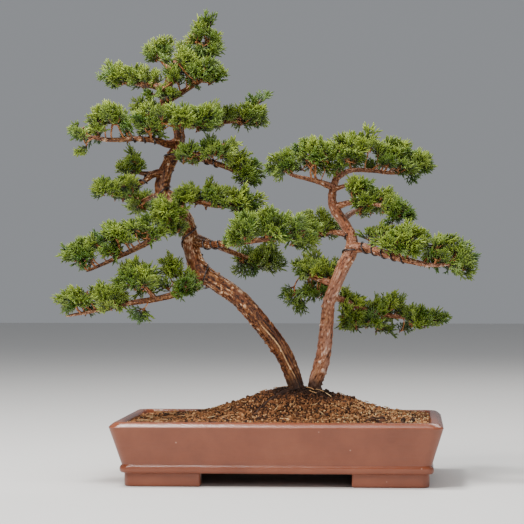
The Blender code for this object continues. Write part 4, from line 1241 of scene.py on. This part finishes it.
def make_pot():
    """Hand-worked clay: leaning walls, bevelled rim, rounded belt, drain holes and corner feet."""
    rings = np.array([rounded_rectangle(POT_LENGTH / 2 - inset, POT_DEPTH / 2 - inset,
                                        CORNER if inset < WALL else CORNER - 1, height)
                      for inset, height in pot_profile()])
    outward = unit(rings * (1, 1, 0) * (0.5, 1, 1))
    uneven = value_noise(rings.reshape(-1, 3) / 41, 5) + 0.3 * value_noise(rings.reshape(-1, 3) / 10, 6)
    rings = rings + outward * uneven.reshape(rings.shape[:2])[:, :, None] * UNEVENNESS
    body = Gathered()
    points, quads, tris = closed_skin(rings)
    body.add(to_frame(points), tris=tris, quads=quads)
    pot = body.build("clay_pot", CLAY)
    for side in (-1, 1):
        hole = Gathered()
        heights = (FOOT_HEIGHT - 3, FLOOR_TOP + 3)
        rod = np.array([(side * DRAIN_SPACING / 2, 0, height) for height in heights], dtype=float)
        points, quads, tris = closed_skin(tube_rings(rod, np.full(2, float(DRAIN_RADIUS)), 48))
        hole.add(to_frame(points), tris=tris, quads=quads)
        cutter = hole.build("drain_cutter", CLAY)
        modifier = pot.modifiers.new("drain", "BOOLEAN")
        modifier.object = cutter
        modifier.operation = "DIFFERENCE"
        modifier.solver = "EXACT"
        bpy.context.view_layer.update()
        evaluated = pot.evaluated_get(bpy.context.evaluated_depsgraph_get())
        mesh = bpy.data.meshes.new_from_object(evaluated)
        pot.modifiers.clear()
        pot.data = mesh
        bpy.data.objects.remove(cutter, do_unlink=True)
    joined = Gathered()
    mesh = pot.data
    mesh.calc_loop_triangles()
    points = np.array([v.co[:] for v in mesh.vertices])
    tris = np.array([t.vertices[:] for t in mesh.loop_triangles])
    bpy.data.objects.remove(pot, do_unlink=True)
    height = (points[:, 2] - pot_low[2]) / MM
    belt_top = smoothstep(16.5, 17.5, height) * (1 - smoothstep(19.5, 20.5, height))
    joined.add(points, tris=tris, polish=smoothstep(52.5, 54.5, height) + belt_top)
    for sx in (-1, 1):
        for sy in (-1, 1):
            points, tris = foot_mesh(sx, sy)
            joined.add(to_frame(points), tris=tris, polish=np.zeros(len(points)))
    pot = joined.build("clay_pot", CLAY)
    pot.data.set_sharp_from_angle(angle=math.radians(38))
    show(pot, "clay", "pot")


# ---------------------------------------------------------------- wire
WIRE_SHOWN = 0.8 * MM            # radius
WIRE_SIDES = 10
WIRE_PRESS = 0.6                 # the wire's middle stands off the bark by this share of its radius
# Wire that runs on over a trunk: the wire it belongs to, the trunk's tree, start and end along
# the trunk, the angle it starts at and the turns it makes.
TRUNK_WIRES = [
    ("low_left_wire", "left", 170, 189, 1.2, 0.8), ("mid_left_wire", "left", 204, 236, 0.4, 1.1),
    ("small_left_wire", "left", 262, 292, 0.2, 1.5), ("high_left_wire", "left", 300, 322, 0.3, 1.2),
    ("long_right_wire", "right", 172, 196, 2.2, 1.3),
]


def wound(skin, samples, along, angle):
    """A line wound round a branch, pressed on the bark that it meets there."""
    _, across, beside = frames_along(samples[:, :3])
    index = np.arange(len(samples))
    centre, first, second = (np.stack([np.interp(along, index, a[:, k]) for k in range(3)], axis=1)
                             for a in (samples[:, :3], across, beside))
    bark_radii = np.interp(along, index, samples[:, 3])
    reach = bark_radii * 1.9
    heading = first * np.cos(angle)[:, None] + second * np.sin(angle)[:, None]
    found = []
    for middle, way, far in zip(centre, heading, reach):
        hit = skin.ray_cast(Vector(middle + way * far), Vector(-way), far)[0]
        found.append(far / 1.9 if hit is None else np.linalg.norm(np.array(hit) - middle))
    found = np.array(found)
    spread = np.max([np.roll(np.pad(found, 3, mode="edge"), k)[3:-3] for k in range(-3, 4)], axis=0)
    found = np.convolve(np.pad(spread, 4, mode="edge"), np.ones(9) / 9, "valid")
    return centre + heading * (found + WIRE_SHOWN * WIRE_PRESS)[:, None]


def make_wires(woods):
    """Each wire winds round its branch, and some run on over the trunk."""
    skins = {tree: ray_tree(wood) for tree, wood in woods.items()}
    for name, (tree, route, start, end, pitch) in WINDINGS.items():
        wire = Gathered()
        runs = [(SAMPLES[tree][route], start, end, 0.0, (end - start) / pitch)]
        runs += [(SAMPLES[on]["trunk"], *span) for owner, on, *span in TRUNK_WIRES if owner == name]
        for samples, first, last, turn, turns in runs:
            count = max(8, round(turns * WIRE_TURN_POINTS))
            line = wound(skins[tree], samples, np.linspace(first, last, count) / ROUTE_STEP,
                         turn + np.linspace(0, turns, count) * 2 * math.pi)
            wire.add_tube(line, np.full(count, WIRE_SHOWN), WIRE_SIDES)
        show(wire.build(name + "_wound", WIRE), "wire", name)


# ---------------------------------------------------------------- the model
make_pot()
make_soil()
WOODS = {"left": make_wood("left", LEFT_BARK), "right": make_wood("right", RIGHT_BARK)}
for tree in TREES:
    tree_twigs = Gathered()
    pads = sorted(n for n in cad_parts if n.startswith(tree) and n.endswith("_foliage"))
    for number, pad_name in enumerate(pads):
        make_pad(tree, pad_name, tree_twigs, 1000 * (tree == "right") + number)
    show(tree_twigs.build(f"{tree}_twigs", TWIG), f"{tree}_bark")
make_wires(WOODS)
for name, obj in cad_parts.items():
    for ending, material in (("_drain_mesh", PLASTIC), ("_mesh_clip", WIRE)):
        if name.endswith(ending):
            obj.data.materials.clear()
            obj.data.materials.append(material)

# ---------------------------------------------------------------- stage, lights, camera
FLOOR_SIZE = 12.0
floor_mesh = bpy.data.meshes.new("floor")
half = FLOOR_SIZE / 2
floor_corners = [(-half, -half, 0), (half, -half, 0), (half, half, 0), (-half, half, 0)]
floor_mesh.from_pydata(floor_corners, [], [(0, 1, 2, 3)])
floor = new_object("floor", floor_mesh)
paper = Nodes("pale_floor", 0.9, 0.2)
paper.shader.inputs["Base Color"].default_value = (0.72, 0.71, 0.69, 1.0)
floor_mesh.materials.append(paper.material)

world = bpy.data.worlds.new("studio")
bpy.context.scene.world = world
world.use_nodes = True
sky = world.node_tree.nodes["Background"]
sky.inputs["Color"].default_value = (0.82, 0.85, 0.90, 1.0)
sky.inputs["Strength"].default_value = 0.34

AIM = (0, 0, 0.22)               # the lights face the tree's middle


def softbox(name, place, size, power, colour):
    """A square area light that faces the tree."""
    light = bpy.data.lights.new(name, "AREA")
    light.shape = "SQUARE"
    light.size = size
    light.energy = power
    light.color = colour
    lamp = new_object(name, light)
    lamp.location = place
    aim = Vector(AIM) - Vector(place)
    lamp.rotation_euler = aim.to_track_quat("-Z", "Y").to_euler()


# Name, place, side in metres, watts and colour.
softbox("key", (-1.2, -1.3, 1.8), 0.6, 34, (1.0, 0.97, 0.93))
softbox("sill", (-0.40, -0.78, 1.4), 0.3, 9, (1.0, 0.98, 0.96))
softbox("front", (0.25, -2.3, 0.75), 0.5, 6, (1.0, 0.97, 0.94))
softbox("top", (-0.2, -0.2, 1.5), 0.8, 10, (1.0, 0.99, 0.97))
softbox("strip", (-0.42, -0.13, 1.55), 0.26, 18, (1.0, 0.99, 0.98))
softbox("fill", (1.6, -1.4, 0.8), 1.0, 7, (0.93, 0.96, 1.0))
softbox("back", (0.6, 1.4, 1.6), 0.9, 13, (1.0, 0.98, 0.95))

CAMERA_PLACE = (POT_MIDDLE[0] + 0.1176, -2.043, 0.193)
CAMERA_TURN = 3.80               # degrees to the left of straight ahead
CAMERA_TILT = 0.223              # degrees above level
camera_data = bpy.data.cameras.new("camera")
camera_data.sensor_width = 36.0  # mm
camera_data.lens = 151.1         # mm
camera = new_object("camera", camera_data)
camera.location = CAMERA_PLACE
camera.rotation_euler = (math.radians(90 + CAMERA_TILT), 0.0, math.radians(CAMERA_TURN))
bpy.context.scene.camera = camera
